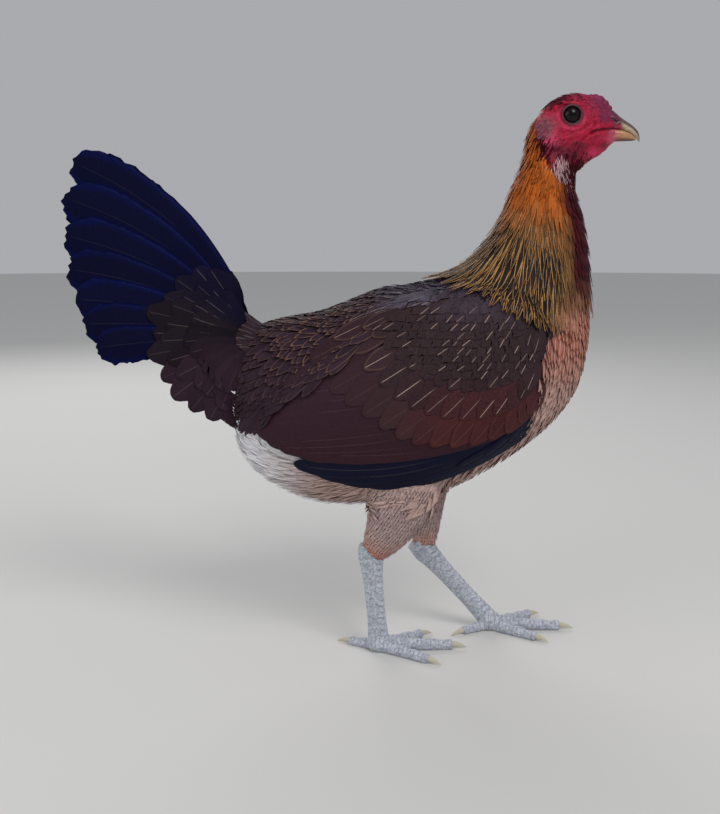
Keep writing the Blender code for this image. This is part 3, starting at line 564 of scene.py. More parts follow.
def vane_pattern(across, along):
    """A thin closed blade as places across (-1 to 1), along (0 to 1) and up (-1 to 1), and its faces."""
    bm = bmesh.new()
    bmesh.ops.create_grid(bm, x_segments=across, y_segments=along, size=0.5)
    whole = bm.verts[:] + bm.edges[:] + bm.faces[:]
    under = bmesh.ops.duplicate(bm, geom=whole)["geom"]
    bmesh.ops.reverse_faces(bm, faces=[g for g in under if isinstance(g, bmesh.types.BMFace)])
    low = {g for g in under if isinstance(g, bmesh.types.BMVert)}
    for vert in bm.verts:
        if not vert.is_boundary:
            vert.co.z = -1 if vert in low else 1
    bmesh.ops.remove_doubles(bm, verts=bm.verts, dist=0.001)
    bm.verts.index_update()
    places = np.array([(v.co.x * 2, v.co.y + 0.5, v.co.z) for v in bm.verts])
    faces = np.array([[v.index for v in face.verts] for face in bm.faces])
    bm.free()
    return places, faces


# Outlines of feathers: places from root to tip, and the share of the half width there.
OUTLINES = {
    "round": ((0, 0.2, 0.45, 0.75, 1), (0.35, 0.75, 0.97, 1.0, 0.62)),
    "petal": ((0, 0.3, 0.65, 0.88, 1), (0.4, 0.85, 1.0, 0.78, 0.36)),
    "lance": ((0, 0.2, 0.5, 0.8, 1), (0.4, 0.8, 1.0, 0.78, 0.22)),
    "flight": ((0, 0.2, 0.5, 0.8, 0.93, 1), (0.3, 0.6, 0.85, 1.0, 0.93, 0.6)),
    "tail": ((0, 0.2, 0.45, 0.75, 0.93, 1), (0.28, 0.5, 0.78, 1.0, 0.97, 0.72)),
    "wisp": ((0, 0.3, 0.7, 1), (0.5, 1.0, 0.8, 0.15)),
}


class Plumage:
    """Feathers gathered for one mesh, each with the places where it lies, its size and its colours."""

    def __init__(
        self, across, along, outline, thick=0.3, rounding=1.0, ragged=0.0, cup=0.0, shaft=0.0, soft=0.6
    ):
        self.soft = soft
        self.places, self.faces = vane_pattern(across, along)
        self.stations = np.linspace(0, 1, along + 1)
        self.shares = np.interp(self.stations, *OUTLINES[outline])
        self.thick, self.rounding, self.ragged = thick, rounding, ragged
        self.cup, self.shaft = cup, shaft
        self.laid, self.sizes, self.colours = [], [], []

    def add(self, tree, path, half_width, rises, roll, look, home):
        """Lays one feather on a surface along a path that has a spot for each station."""
        last = len(path) - 1
        rows = []
        for k, spot in enumerate(path):
            along = (path[min(k + 1, last)] - path[max(k - 1, 0)]).normalized()
            middle, out = tree.find_nearest(spot)[:2]
            across = along.cross(out).normalized() * half_width * float(self.shares[k])
            left = tree.find_nearest(middle - across)[0]
            right = tree.find_nearest(middle + across)[0]
            rows.append((*left, *middle, *right, *out, *along))
        self.laid.append(rows)
        length = sum((b - a).length for a, b in zip(path, path[1:]))
        self.sizes.append((half_width, length, *rises, roll, *home))
        self.colours.append((*look[0], *look[1], *look[2]))

    def build(self, name, material):
        """Makes the gathered feathers one piece."""
        laid = np.array(self.laid).reshape(len(self.laid), len(self.stations), 5, 3)
        size = np.array(self.sizes)[:, :, None]
        u, v, t = self.places.T
        station = np.rint(v * (len(self.stations) - 1)).astype(int)
        left, middle, right, out, along = (laid[:, station, k] for k in range(5))
        count, verts = len(laid), len(u)
        draw = np.random.default_rng(SEED + count)
        rim = (np.abs(u) > 0.99) | (v > 0.99)
        notch = draw.random((count, verts)) * self.ragged * rim * smoothstep(0.25, 0.9, v)
        wide = u * (1 - notch * (np.abs(u) > 0.99))
        base = (
            middle
            + (right - left) * (wide / 2)[..., None]
            + ((right + left) / 2 - middle) * (wide ** 2)[..., None]
        )
        half, length, low, high, roll = (size[:, k] for k in range(5))
        tip = np.clip((v - 0.45) / 0.55, 0, 1) ** 2
        lag = self.rounding * half * self.shares[station] * np.abs(u) ** 2.2 * tip
        lag = lag + notch * half * 1.3 * (v > 0.99)
        base = base - along * lag[..., None]
        body = t * self.thick / 2 * (1.15 - 0.6 * v)
        rise = low + (high - low) * v ** 1.2 + roll * u + self.cup * half * u ** 2 * -1
        rise = rise + body + self.shaft * (np.abs(u) < 0.01) * t * (1 - v)
        co = (base + out * rise[..., None]).reshape(-1, 3)
        faces = (self.faces[None] + (np.arange(count) * verts)[:, None, None]).reshape(-1, 4)
        obj = add_piece(name, co, faces, material)
        facing = out * np.where(t < 0, -1.0, 1.0)[None, :, None]
        soften(obj, facing.reshape(-1, 3), self.soft)
        colours = np.repeat(np.array(self.colours), verts, axis=0)
        set_colours(obj, "Tint", colours[:, 0:3])
        set_colours(obj, "Mark", colours[:, 3:6])
        set_colours(obj, "Marks", colours[:, 6:10])
        seed = obj.data.attributes.new("Seed", "FLOAT", "POINT")
        seed.data.foreach_set("value", np.repeat(draw.random(count), verts).astype(np.float32))
        home = np.repeat(size[:, 5:7, 0], verts, axis=0)
        patch = np.tile(np.stack([u * 0.0015, (v - 0.5) * 0.003], axis=1), (count, 1))
        set_map(obj, "OFBake", home + patch)
        set_map(obj, "Vane", np.tile(np.stack([u / 2 + 0.5, v], axis=1), (count, 1)))
        real = np.stack([wide * half * self.shares[station], v * length + 0 * wide], axis=-1)
        set_map(obj, "Barbs", real.reshape(-1, 2))
        return obj


def walk(tree, start, heading, length, stations):
    """Spots of a path over a surface, one for each station."""
    spot, out = tree.find_nearest(start)[:2]
    path = [spot]
    for low, high in zip(stations, stations[1:]):
        heading = (heading - out * heading.dot(out)).normalized()
        spot, out = tree.find_nearest(spot + heading * length * (high - low))[:2]
        path.append(spot)
    return path


def side_path(tree, root, tip, side, stations, sag=0.0):
    """Spots of a surface under a line of the side view, which may sag in its middle."""
    path = []
    for t in stations:
        x = root[0] + (tip[0] - root[0]) * t
        z = root[1] + (tip[1] - root[1]) * t - sag * 4 * t * (1 - t)
        hit = tree.ray_cast(Vector((x, 200 * side, z)), Vector((0, -side, 0)))[0]
        path.append(hit or tree.find_nearest(Vector((x, 60 * side, z)))[0])
    return path


def varied(colour, amount=0.15):
    """A colour a little lighter or darker than the one given."""
    return np.asarray(colour) * (1 + amount * (2 * rng.random() - 1))


def blend(first, second, share):
    return np.asarray(first) * (1 - share) + np.asarray(second) * share


def body_home(along, around):
    """A place on the unwrap of the body: round it and along it."""
    return (0.02 + 0.96 * (around % 1.0), 0.02 + 0.96 * along)


# Wing


def wing_edges(x):
    """Top, bottom and share of the thickness of the wing at places along it."""
    rows = spline(WING_ROWS, np.linspace(0, 1, 80))
    return [np.interp(x, rows[:, 0], rows[:, k]) for k in (1, 2, 3)]


def wing_sheet(coat, side):
    """The surface on which the feathers of a folded wing lie, as a search tree."""
    rows, columns = 90, 60
    xs = np.linspace(WING_ROWS[0][0] - 16, WING_ROWS[-1][0] + 12, rows)
    spots = []
    for x in xs:
        top, low, share = wing_edges(x)
        for k in range(columns):
            z = (top + low) / 2 + (top - low) / 2 * (2.9 * k / (columns - 1) - 1.45)
            spots.append((x, wing_out(coat, x, z, top, low, share) * side, z))
    faces = []
    for i in range(rows - 1):
        for j in range(columns - 1):
            a, b = i * columns + j, (i + 1) * columns + j
            face = (a, b, b + 1, a + 1)
            faces.append(face[::-1] if side > 0 else face)
    return BVHTree.FromPolygons(spots, faces)


def wing_out(coat, x, z, top, low, share):
    """How far out the sheet of the wing's feathers lies."""
    hit = coat.ray_cast(Vector((x, 200, z)), Vector((0, -1, 0)))[0]
    from_middle = (2 * z - top - low) / (top - low)
    body = hit.y if hit else WING_INSIDE
    return body + WING_THICKNESS * share * (1 - WING_FALL * min(from_middle ** 2, 1.5))


def wing_core(coat, side):
    """The flesh of a folded wing, close under the sheet of its feathers."""
    def at(along, around):
        spots = []
        for t, turn in zip(along, around):
            x = WING_ROWS[0][0] + 6 + (WING_ROWS[-1][0] - WING_ROWS[0][0] - 12) * t
            top, low, share = wing_edges(x)
            up, out = math.cos(2 * math.pi * turn), math.sin(2 * math.pi * turn)
            z = (top + low) / 2 + (top - low) / 2 * 0.88 * up
            y = wing_out(coat, x, z, top, low, share) - 3.4 if out > 0 else WING_INSIDE
            spots.append((x, y * side, z))
        return np.array(spots)
    return tube(at, 40, 40)


def tail_at(reach, angle, side, base=None):
    """A spot of the sheet of one side's tail feathers, or of the tail's base if that is outside."""
    turn = math.radians(angle)
    x, z = TAIL_ROOT[0] - reach * math.cos(turn), TAIL_ROOT[1] + reach * math.sin(turn)
    opened = math.radians(min(TAIL_TOP_ANGLE - angle, TAIL_OPEN_TO))
    out = max(TAIL_RIDGE_Y + TAIL_SPREAD * reach * opened, 1.5)
    hit = base.ray_cast(Vector((x, 200, z)), Vector((0, -1, 0)))[0] if base else None
    if hit:
        out = max(out, hit.y)
    return Vector((x, out * side, z))


def tail_sheet(side, base=None):
    """That surface as a search tree, whose normals point away from the bird's middle."""
    rows, columns = 60, 90
    spots = [
        tail_at(210 * i / (rows - 1), 185 * j / (columns - 1) - 105, side, base)
        for i in range(rows) for j in range(columns)
    ]
    faces = []
    for i in range(rows - 1):
        for j in range(columns - 1):
            a, b = i * columns + j, (i + 1) * columns + j
            normal = (spots[b] - spots[a]).cross(spots[b + 1] - spots[a])
            face = (a, b, b + 1, a + 1)
            faces.append(face if normal.y * side > 0 else face[::-1])
    return BVHTree.FromPolygons(spots, faces)


# Tracts of small feathers


def envelope_at(along, around):
    """The body with its folded wings: the surface that the outermost feathers lie on."""
    spots = body_at(along, around)
    x, y, z = spots.T
    top, low, share = wing_edges(x)
    inside = smoothstep(-9, 3, np.minimum(top - z, z - low))
    inside = inside * smoothstep(WING_ROWS[0][0], WING_ROWS[0][0] + 14, x)
    inside = inside * smoothstep(WING_ROWS[-1][0] + 8, WING_ROWS[-1][0] - 8, x)
    from_middle = np.minimum(((2 * z - top - low) / (top - low)) ** 2, 1.5)
    proud = WING_THICKNESS * share * (1 - WING_FALL * from_middle) + BOW_RISE
    spots[:, 1] = y + np.sign(y) * inside * proud
    return spots


def tract_places(at, start, end, pitch, spread, stagger=0.5, jitter=0.25):
    """Staggered places on a surface: rows a pitch apart, with feathers spread along each."""
    fine = np.linspace(start, end, 60)
    line = at(fine, np.full(60, 0.27))
    run = np.concatenate([[0], np.cumsum(np.linalg.norm(np.diff(line, axis=0), axis=1))])
    rows = np.interp(np.arange(0, run[-1], pitch), run, fine)
    turns = np.linspace(0, 1, 181)
    found = []
    for k, along in enumerate(rows):
        ring = at(np.full(181, along), turns)
        round_it = np.concatenate([[0], np.cumsum(np.linalg.norm(np.diff(ring, axis=0), axis=1))])
        count = max(int(round_it[-1] / spread), 4)
        spots = (np.arange(count) + stagger * (k % 2) + jitter * (rng.random(count) - 0.5)) / count
        around = np.interp(spots % 1.0 * round_it[-1], round_it, turns)
        step = pitch / run[-1] * (end - start)
        places = np.clip(along + jitter * step * (rng.random(count) - 0.5), 0, 1)
        found.append(np.stack([places, around], axis=1))
    return np.concatenate(found)


def folded(around):
    """How far round the body a place is: 0 at the back and 1 below."""
    return 1 - abs(2 * around - 1)


def body_tract(first, last, pitch, spread):
    """Places of feathers between two rows of the body, each with its fold and its spot."""
    for along, around in tract_places(body_at, at_row(first), at_row(last), pitch, spread):
        yield along, around, folded(around), body_at(np.array([along]), np.array([around]))[0]


def lay_at(at, along, around, pull, ahead=-0.012):
    """A root on a surface and the heading there: towards the vent, and drawn down by a share."""
    spots = at(np.array([along, along + ahead]), np.array([around, around]))
    heading = Vector(spots[1] - spots[0]).normalized()
    return Vector(spots[0]), (heading + Vector((0, 0, -pull))).normalized()


def coat_look(paint, x, fold, z=250):
    """Colours and markings of a body feather by its place: x, z, and fold 0 at the back to 1 below."""
    front, rear = float(smoothstep(60, 118, x)), float(smoothstep(-10, -70, x))
    under = float(smoothstep(0.46, 0.58, fold))
    slate = smoothstep(30, 62, x) * smoothstep(0.42, 0.25, fold)
    top = blend(named(paint.saddle), named(paint.slate), slate)
    top = blend(top, named(paint.salmon) * 0.8, front * float(smoothstep(0.26, 0.4, fold)))
    below = blend(named(paint.buff), named(paint.cream), rear)
    low_front = 0.75 * float(smoothstep(250, 205, z))
    below = blend(below, blend(named(paint.salmon), named(paint.buff), low_front), front)
    below = blend(below, named(paint.maroon) * 1.6, front * float(smoothstep(262, 300, z)))
    tint = varied(blend(top, below, under), 0.16)
    golden = 0.25 + 0.75 * float(near(np.array([[x, 0.0]]), (2, 0), (38, 1))[0])
    lace = (1 - under) * float(smoothstep(52, 25, x)) * golden * rng.uniform(0.15, 0.9)
    lace *= 0.35 + 0.65 * float(smoothstep(0.42, 0.2, fold))
    shaft = 0.9 * front + 0.5 * (1 - under) * float(smoothstep(0, 40, x)) * (rng.random() < 0.35)
    return tint, named(paint.lacing), (0, lace, shaft, 0)


# Lowest places of the hackle's tips in the side view, and those of the saddle feathers over the wing.
HACKLE_TIPS = (
    (40, 276), (52, 276), (71, 272), (94, 264), (115, 250), (134, 246), (150, 238), (170, 232),
)
SADDLE_TIPS = (
    (-76, 172), (-71, 176), (-47, 196), (-27, 214), (-12, 224), (4, 236), (18, 250), (30, 262),
)


def kept_over(path, line, jitter):
    """The share of a path that stays over a line of the side view."""
    xs, zs = zip(*line)
    for k, spot in enumerate(path):
        if spot.z < np.interp(spot.x, xs, zs) + jitter:
            return k / (len(path) - 1)
    return 1.0


def hackle_look(paint, along, fold):
    """Colours and markings of a neck feather: along is 0 at its base, fold is 1 in front."""
    top = float(smoothstep(0.35, 0.8, along))
    tint = blend(named(paint.gold), named(paint.ginger), top)
    maroon = float(smoothstep(0.52, 0.68, fold)) * float(smoothstep(0.0, 0.25, along))
    salmon = float(smoothstep(0.5, 0.66, fold)) * float(smoothstep(0.25, 0.0, along))
    tint = blend(blend(tint, named(paint.maroon), maroon), named(paint.salmon), salmon)
    stripe = (1 - max(maroon, salmon)) * (1.0 - 0.75 * top) * rng.uniform(0.95, 1.0)
    return varied(tint, 0.3), named(paint.black), (stripe, 0, 0.6 * salmon, 0)


def paint_of(label, value, words):
    """A colour property."""
    return FloatVectorProperty(
        name=label, description=words, default=value, subtype="COLOR", size=3, min=0, max=1
    )


class HenColours(bpy.types.PropertyGroup):
    """The colours of the hen's feathers and bare parts."""
    ginger: paint_of("Ginger", (0.54, 0.12, 0.010), "Hackle just under the head")
    gold: paint_of("Gold", (0.50, 0.26, 0.085), "Rims of the lower hackle")
    black: paint_of("Black", (0.006, 0.005, 0.009), "Middles of the hackle feathers")
    maroon: paint_of("Maroon", (0.048, 0.002, 0.006), "Front of the neck")
    salmon: paint_of("Salmon", (0.36, 0.125, 0.085), "Breast")
    buff: paint_of("Buff", (0.52, 0.36, 0.32), "Belly and thighs")
    cream: paint_of("Cream", (0.97, 0.95, 0.98), "Fluff of the vent")
    slate: paint_of("Slate", (0.072, 0.058, 0.086), "Back behind the hackle")
    saddle: paint_of("Saddle", (0.030, 0.015, 0.024), "Saddle feathers")
    lacing: paint_of("Lacing", (0.25, 0.13, 0.085), "Thin rims of the saddle feathers")
    bow: paint_of("Bow", (0.038, 0.021, 0.024), "Small feathers of the wing")
    bow_red: paint_of("Bow red", (0.066, 0.017, 0.019), "Greater coverts of the wing")
    speckle: paint_of("Speckle", (0.014, 0.008, 0.014), "Speckles of the wing")
    secondary: paint_of("Secondary", (0.038, 0.013, 0.020), "Secondaries")
    primary: paint_of("Primary", (0.003, 0.004, 0.020), "Primaries")
    covert: paint_of("Covert", (0.012, 0.008, 0.013), "Tail coverts")
    tail: paint_of("Tail", (0.0006, 0.0018, 0.028), "Main tail feathers")
    shaft: paint_of("Shaft", (0.50, 0.40, 0.34), "Pale feather shafts")
    face: paint_of("Face", (0.36, 0.002, 0.030), "Bare skin of the face")
    lobe: paint_of("Lobe", (0.66, 0.050, 0.15), "Earlobes and wattles")
    comb: paint_of("Comb", (0.16, 0.012, 0.055), "Comb and the skin before the eye")
    dusk: paint_of("Dusk", (0.070, 0.003, 0.014), "Shaded folds under the face")
    bristle: paint_of("Bristle", (0.55, 0.36, 0.38), "Pale bristles of the throat")
    ear: paint_of("Ear", (0.34, 0.11, 0.15), "Tuft over the ear")
    horn_pale: paint_of("Pale horn", (0.50, 0.42, 0.28), "Sides of the bill, and the claws")
    horn_dark: paint_of("Dark horn", (0.060, 0.022, 0.034), "Ridge of the bill")
    iris: paint_of("Iris", (0.010, 0.002, 0.002), "Iris of the eye")
    scale_pale: paint_of("Pale scale", (0.52, 0.55, 0.61), "Scales of the legs")
    scale_dark: paint_of("Dark scale", (0.33, 0.35, 0.41), "Mottling of the legs")


class HenSizes(bpy.types.PropertyGroup):
    """Sizes of the hen's coat."""
    coat_pitch: FloatProperty(
        name="Coat pitch", description="Distance between rows of body feathers, in millimetres",
        default=4.4, min=2, max=12)
    coat_length: FloatProperty(
        name="Coat length", description="Length of a body feather, in millimetres",
        default=24, min=5, max=60)
    hackle_length: FloatProperty(
        name="Hackle length", description="Length of the longest neck feathers, in millimetres",
        default=50, min=10, max=90)


class HEN_OT_skin(bpy.types.Operator):
    """One skin under the whole coat, with the bare face"""
    bl_idname = "hen.skin"
    bl_label = "Skin"

    def execute(self, context):
        paint = context.scene.hen_colours
        body = tube(lambda a, r: body_at(a * at_row(17.2), r, 1.0), 150, 96)
        pieces = [body, tube(lambda a, r: section(TAIL_BASE_ROWS, a, r, 1.0), 30, 40)]
        for word, side in (("left", 1), ("right", -1)):
            pieces.append(tube(lambda a, r: limb_at(THIGH_ROWS[word], a, r, THIGH_COAT), 30, 30))
            pieces.append(wing_core(bodies["coat"], side))
        co, faces, _ = fused(pieces, 2.0, 4)
        bodies["skin"] = BVHTree.FromPolygons(co.tolist(), faces)
        head_co, head_faces = head_skin()
        bodies["face"] = BVHTree.FromPolygons(head_co.tolist(), head_faces)
        bodies["face_spots"] = head_co
        tints = np.array([skin_tint(paint, spot) for spot in co])
        face_tints = np.array([face_tint(paint, spot) for spot in head_co])
        shifted = [tuple(k + len(co) for k in face) for face in head_faces]
        obj = add_piece(
            "skin", np.concatenate([co, head_co]), faces + shifted, flesh_material("bare_skin")
        )
        set_colours(obj, "Tint", np.concatenate([tints, face_tints]))
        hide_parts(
            "torso", "neck", "head", "comb", "wattle_left", "wattle_right", "earlobe_left",
            "earlobe_right", "wing_left", "wing_right", "tail", "thigh_left", "thigh_right",
        )
        return {"FINISHED"}


def skin_tint(paint, spot):
    """The coat's colour on the skin under it, mostly made darker as painted shade under the feathers."""
    x, _, z = spot
    middle = 205 + 0.35 * x
    fold = float(np.clip(0.5 + (middle - z) / 130, 0, 1))
    if x > 92 and z > 270:
        return named(paint.maroon) if fold < 0.35 else named(paint.ginger) * 0.5
    if x < -78 and z > 168:
        return named(paint.saddle) * 0.6
    return np.asarray(coat_look(paint, x, fold)[0]) * 0.6


COMB_BUMPS = (  # x, z and height
    (160, 401.8, 2.0), (163.6, 401.2, 2.5), (167, 399.6, 2.9), (170.2, 396.8, 2.8), (173, 394, 2.2),
)

HEAD_SWELLINGS = (  # on each side: middle, half sizes and turn in the side view
    ((159.5, 7.4, 363.8), (5.2, 1.9, 3.5), 30),  # wattle
    ((154.5, 6.4, 360), (3.8, 1.8, 2.5), 18),  # the wattle's root
    ((129.5, 15.0, 371), (4.6, 2.2, 6.6), -14),  # earlobe
    ((133, 15.0, 366.5), (5.2, 2.0, 3.4), 10),  # the earlobe's lower end
    ((151, 10.8, 378), (8.0, 3.4, 6.0), -12),  # cheek
    ((146, 12.4, 395.5), (9.5, 2.6, 2.0), -8),  # brow
)


def head_skin():
    """Points and faces of the head with its comb, wattles, lobes and lids, in finer detail."""
    def at(along, around):
        low = at_row(14.2)
        place = low + (1 - low) * along
        spots = body_at(place, around, 1.0)
        dive = 1 - 0.16 * smoothstep(0.12, 0.0, along)
        middle = body_at(place, np.zeros_like(place), 1.0)
        other = body_at(place, np.full_like(place, 0.5), 1.0)
        centre = (middle + other) / 2
        return centre + (spots - centre) * dive[:, None]

    pieces = [tube(at, 120, 96)]
    for x, z, height in COMB_BUMPS:
        pieces.append(ball((x, 0, z), (height * 1.05, 2.3, height), -20))
    for side in (1, -1):
        for (x, y, z), size, turn in HEAD_SWELLINGS:
            pieces.append(ball((x, y * side, z), size, turn))
        pieces.append(lid_ring(side))
    co, faces, out = fused(pieces, 0.62, 3)
    return sculpted(co, out), faces


LID_RADIUS, LID_Y = 6.3, 15.1
# Creases of the face in the side view: from x, z to x, z, and how deep.
CREASES = (
    (161, 377.4, 153, 371.5, 0.8), (153, 371.5, 149.5, 364, 0.6), (158, 382.5, 150.5, 377, 0.5),
    (141, 377, 133.5, 372, 0.5), (137, 369, 145, 362, 0.5), (166, 384, 160, 379.5, 0.5),
    (146, 372, 139, 366, 0.4), (152, 398.5, 140, 397.5, 0.5), (164, 391, 157, 395, 0.4),
)


def lid_ring(side):
    """The two lids of an eye as one soft ring, drawn out to a corner in front and behind."""
    def at(along, around):
        turn = 2 * np.pi * around
        swell = 2 * np.pi * along
        reach = LID_RADIUS + 1.15 * np.cos(swell) + 0.7 * np.abs(np.cos(turn)) ** 8
        x = EYE_AT[0] + reach * np.cos(turn)
        z = EYE_AT[2] + reach * np.sin(turn) * 0.95
        y = (LID_Y - 0.05 * (x - EYE_AT[0]) + 1.35 * np.sin(swell)) * side
        return np.stack([x, y, z], axis=-1)

    bm = bmesh.new()
    bmesh.ops.create_grid(bm, x_segments=48, y_segments=10, size=0.5)
    flat = np.array([v.co for v in bm.verts])
    for vert, spot in zip(bm.verts, at(flat[:, 1] + 0.5, flat[:, 0] + 0.5)):
        vert.co = spot
    bmesh.ops.remove_doubles(bm, verts=bm.verts, dist=0.0005)
    bmesh.ops.recalc_face_normals(bm, faces=bm.faces)
    return bm


def near(co, at, sizes):
    """1 at a place and less around it, over the sizes given along x, y and z."""
    away = (co - np.asarray(at, float)) / np.asarray(sizes, float)
    return np.exp(-(away ** 2).sum(axis=1))


def sculpted(co, out):
    """The head's points with the eye's hollow, the mouth's line, the ear and the folds of the skin."""
    co = co.copy()
    for side in (1, -1):
        eye = np.array((EYE_AT[0], EYE_AT[1] * side, EYE_AT[2]))
        flat = np.hypot(co[:, 0] - eye[0], (co[:, 2] - eye[2]) / 0.95)
        facing = co[:, 1] * side > 8
        push = smoothstep(5.6, 4.5, flat) * facing * 5.5
        co[:, 1] -= push * side
        ring = np.cos(2 * np.pi * (flat - 8.8) / 2.3)
        ring *= smoothstep(7.4, 8.6, flat) * smoothstep(14, 10, flat) * (0.5 + 0.5 * (co[:, 2] < eye[2]))
        co += out * (0.24 * ring * facing)[:, None]
        for x0, z0, x1, z1, deep in CREASES:
            run = np.array((x1 - x0, z1 - z0))
            away = co[:, (0, 2)] - (x0, z0)
            place = np.clip(away @ run / (run @ run), 0, 1)
            far = np.linalg.norm(away - place[:, None] * run, axis=1)
            co -= out * (deep * np.exp(-(far / 0.75) ** 2) * (co[:, 1] * side > 3))[:, None]
        mirror = np.array((1, side, 1))
        lobe = near(co, np.array((127.5, 16.5, 381)) * mirror, (2.6, 4, 3.0))
        co -= out * (lobe * 1.4)[:, None]
        along = np.clip((co[:, 0] - 157) / 16, 0, 1)
        line = 377.2 + 2.6 * along - 1.5 * (1 - along) ** 2
        groove = np.exp(-((co[:, 2] - line) / 0.75) ** 2) * smoothstep(155.5, 159, co[:, 0])
        lip = np.exp(-((co[:, 2] - line + 2.6) / 1.3) ** 2) * smoothstep(153, 158, co[:, 0])
        co += out * ((0.6 * lip - 1.6 * groove) * (co[:, 1] * side > 2))[:, None]
    folds = np.array([
        noise.fractal(Vector((x * 0.16, y * 0.3, z * 0.3)), 1.0, 2.0, 3) for x, y, z in co
    ])
    grain = np.array([noise.noise(Vector(spot) * 1.15) for spot in co])
    bare = smoothstep(350, 356, co[:, 2])
    clear = 1 - smoothstep(7.6, 5.6, np.hypot(co[:, 0] - EYE_AT[0], co[:, 2] - EYE_AT[2]))
    co += out * ((0.38 * folds + 0.16 * grain) * bare * clear)[:, None]
    return co


# Patches of colour on each side of the face: colour, its lightness in red, green and blue, the most of
# it, place and half sizes. The later ones lie over the earlier.
FACE_PATCHES = (
    ("comb", (1.3, 1.6, 1.6), 0.8, (165, 0, 402), (9, 4, 4)),
    ("comb", (0.7, 0.7, 0.7), 0.6, (140, 4, 402), (16, 9, 5)),
    ("lobe", (1, 1, 1), 0.9, (129, 17, 370), (6, 6, 7)),
    ("ear", (1, 1, 1), 0.75, (126, 17, 382), (7, 6, 7)),
    # The dusk patches are painted shade in the folds under the face
    ("dusk", (1, 1, 1), 0.9, (142, 14, 361), (17, 9, 8)),
    ("dusk", (1, 1, 1), 0.7, (151, 13, 368), (5, 7, 3)),
    ("dusk", (1, 1, 1), 0.7, (134, 16, 366), (5, 7, 3)),
    ("lobe", (0.8, 1.2, 0.9), 0.6, (167, 5, 374), (6, 6, 2)),
)
JAW_PATCHES = (  # over the soft root of the lower bill
    # A dusk patch of painted shade under the root of the bill
    ("dusk", (1, 1, 1), 0.8, (166, 5, 368.5), (9, 6, 2.2)),
    ("lobe", (1.0, 0.6, 0.8), 0.95, (159.5, 8, 363.8), (5.5, 4, 3.6)),
)


def face_tint(paint, spot):
    """The colour of the bare face at a place."""
    co = np.asarray(spot, float)[None]
    x, y, z = spot
    tint = named(paint.face) * (1 + 0.4 * noise.fractal(Vector(spot) * 0.4, 1.0, 2.0, 3))
    mirror = np.array((1, math.copysign(1, y), 1))

    def share(at, sizes):
        return float(near(co, np.asarray(at, float) * mirror, sizes)[0])

    before = float(smoothstep(160, 168, x)) * float(smoothstep(381, 386, z))
    tint = blend(tint, named(paint.comb), 0.9 * max(before, share((166, 4, 397), (12, 12, 8))))
    for key, light, most, at, sizes in FACE_PATCHES:
        tint = blend(tint, named(getattr(paint, key)) * light, most * share(at, sizes))
    lip = float(smoothstep(168, 176, x)) * (z < 380.5)
    tint = blend(tint, named(paint.lobe) * (0.7, 1.6, 0.9), lip)
    for key, light, most, at, sizes in JAW_PATCHES:
        tint = blend(tint, named(getattr(paint, key)) * light, most * share(at, sizes))
    # The mouth's line is painted near black: painted shade in its groove
    mouth = math.exp(-((z - 377.2 - 0.16 * (x - 157)) / 0.8) ** 2) * float(smoothstep(156, 162, x))
    tint = blend(tint, named(paint.dusk) * 0.2, 0.9 * mouth)
    # Low on the throat the skin is painted darker: painted shade under the face
    tint = blend(tint, named(paint.dusk) * 0.7, 0.9 * float(smoothstep(356, 347, z)))
    tint = blend(tint, named(paint.maroon), float(smoothstep(126, 117, x)))
    around_eye = math.hypot(x - EYE_AT[0], z - EYE_AT[2])
    beside = abs(y) > 8
    # Pink on the fold under the lower lid is a painted highlight
    fold = math.exp(-((around_eye - 9.2) / 0.7) ** 2) * (z < EYE_AT[2] + 2)
    tint = blend(tint, named(paint.lobe), 0.5 * fold * beside)
    tint = blend(tint, (0.045, 0.003, 0.010), float(smoothstep(8.0, 7.2, around_eye)) * beside)
    line = math.exp(-((around_eye - 6.7) / 0.35) ** 2)
    tint = blend(tint, (0.22, 0.05, 0.07), 0.7 * line * beside)
    return blend(tint, (0.006, 0.001, 0.002), float(smoothstep(6.2, 5.5, around_eye)) * beside)


def under_wing(spot):
    """How deep a spot lies inside the outline of the folded wing, in millimetres."""
    top, low, _ = wing_edges(spot[0])
    ends = min(spot[0] - WING_ROWS[0][0], WING_ROWS[-1][0] - spot[0])
    return min(top - spot[2], spot[2] - low, ends)


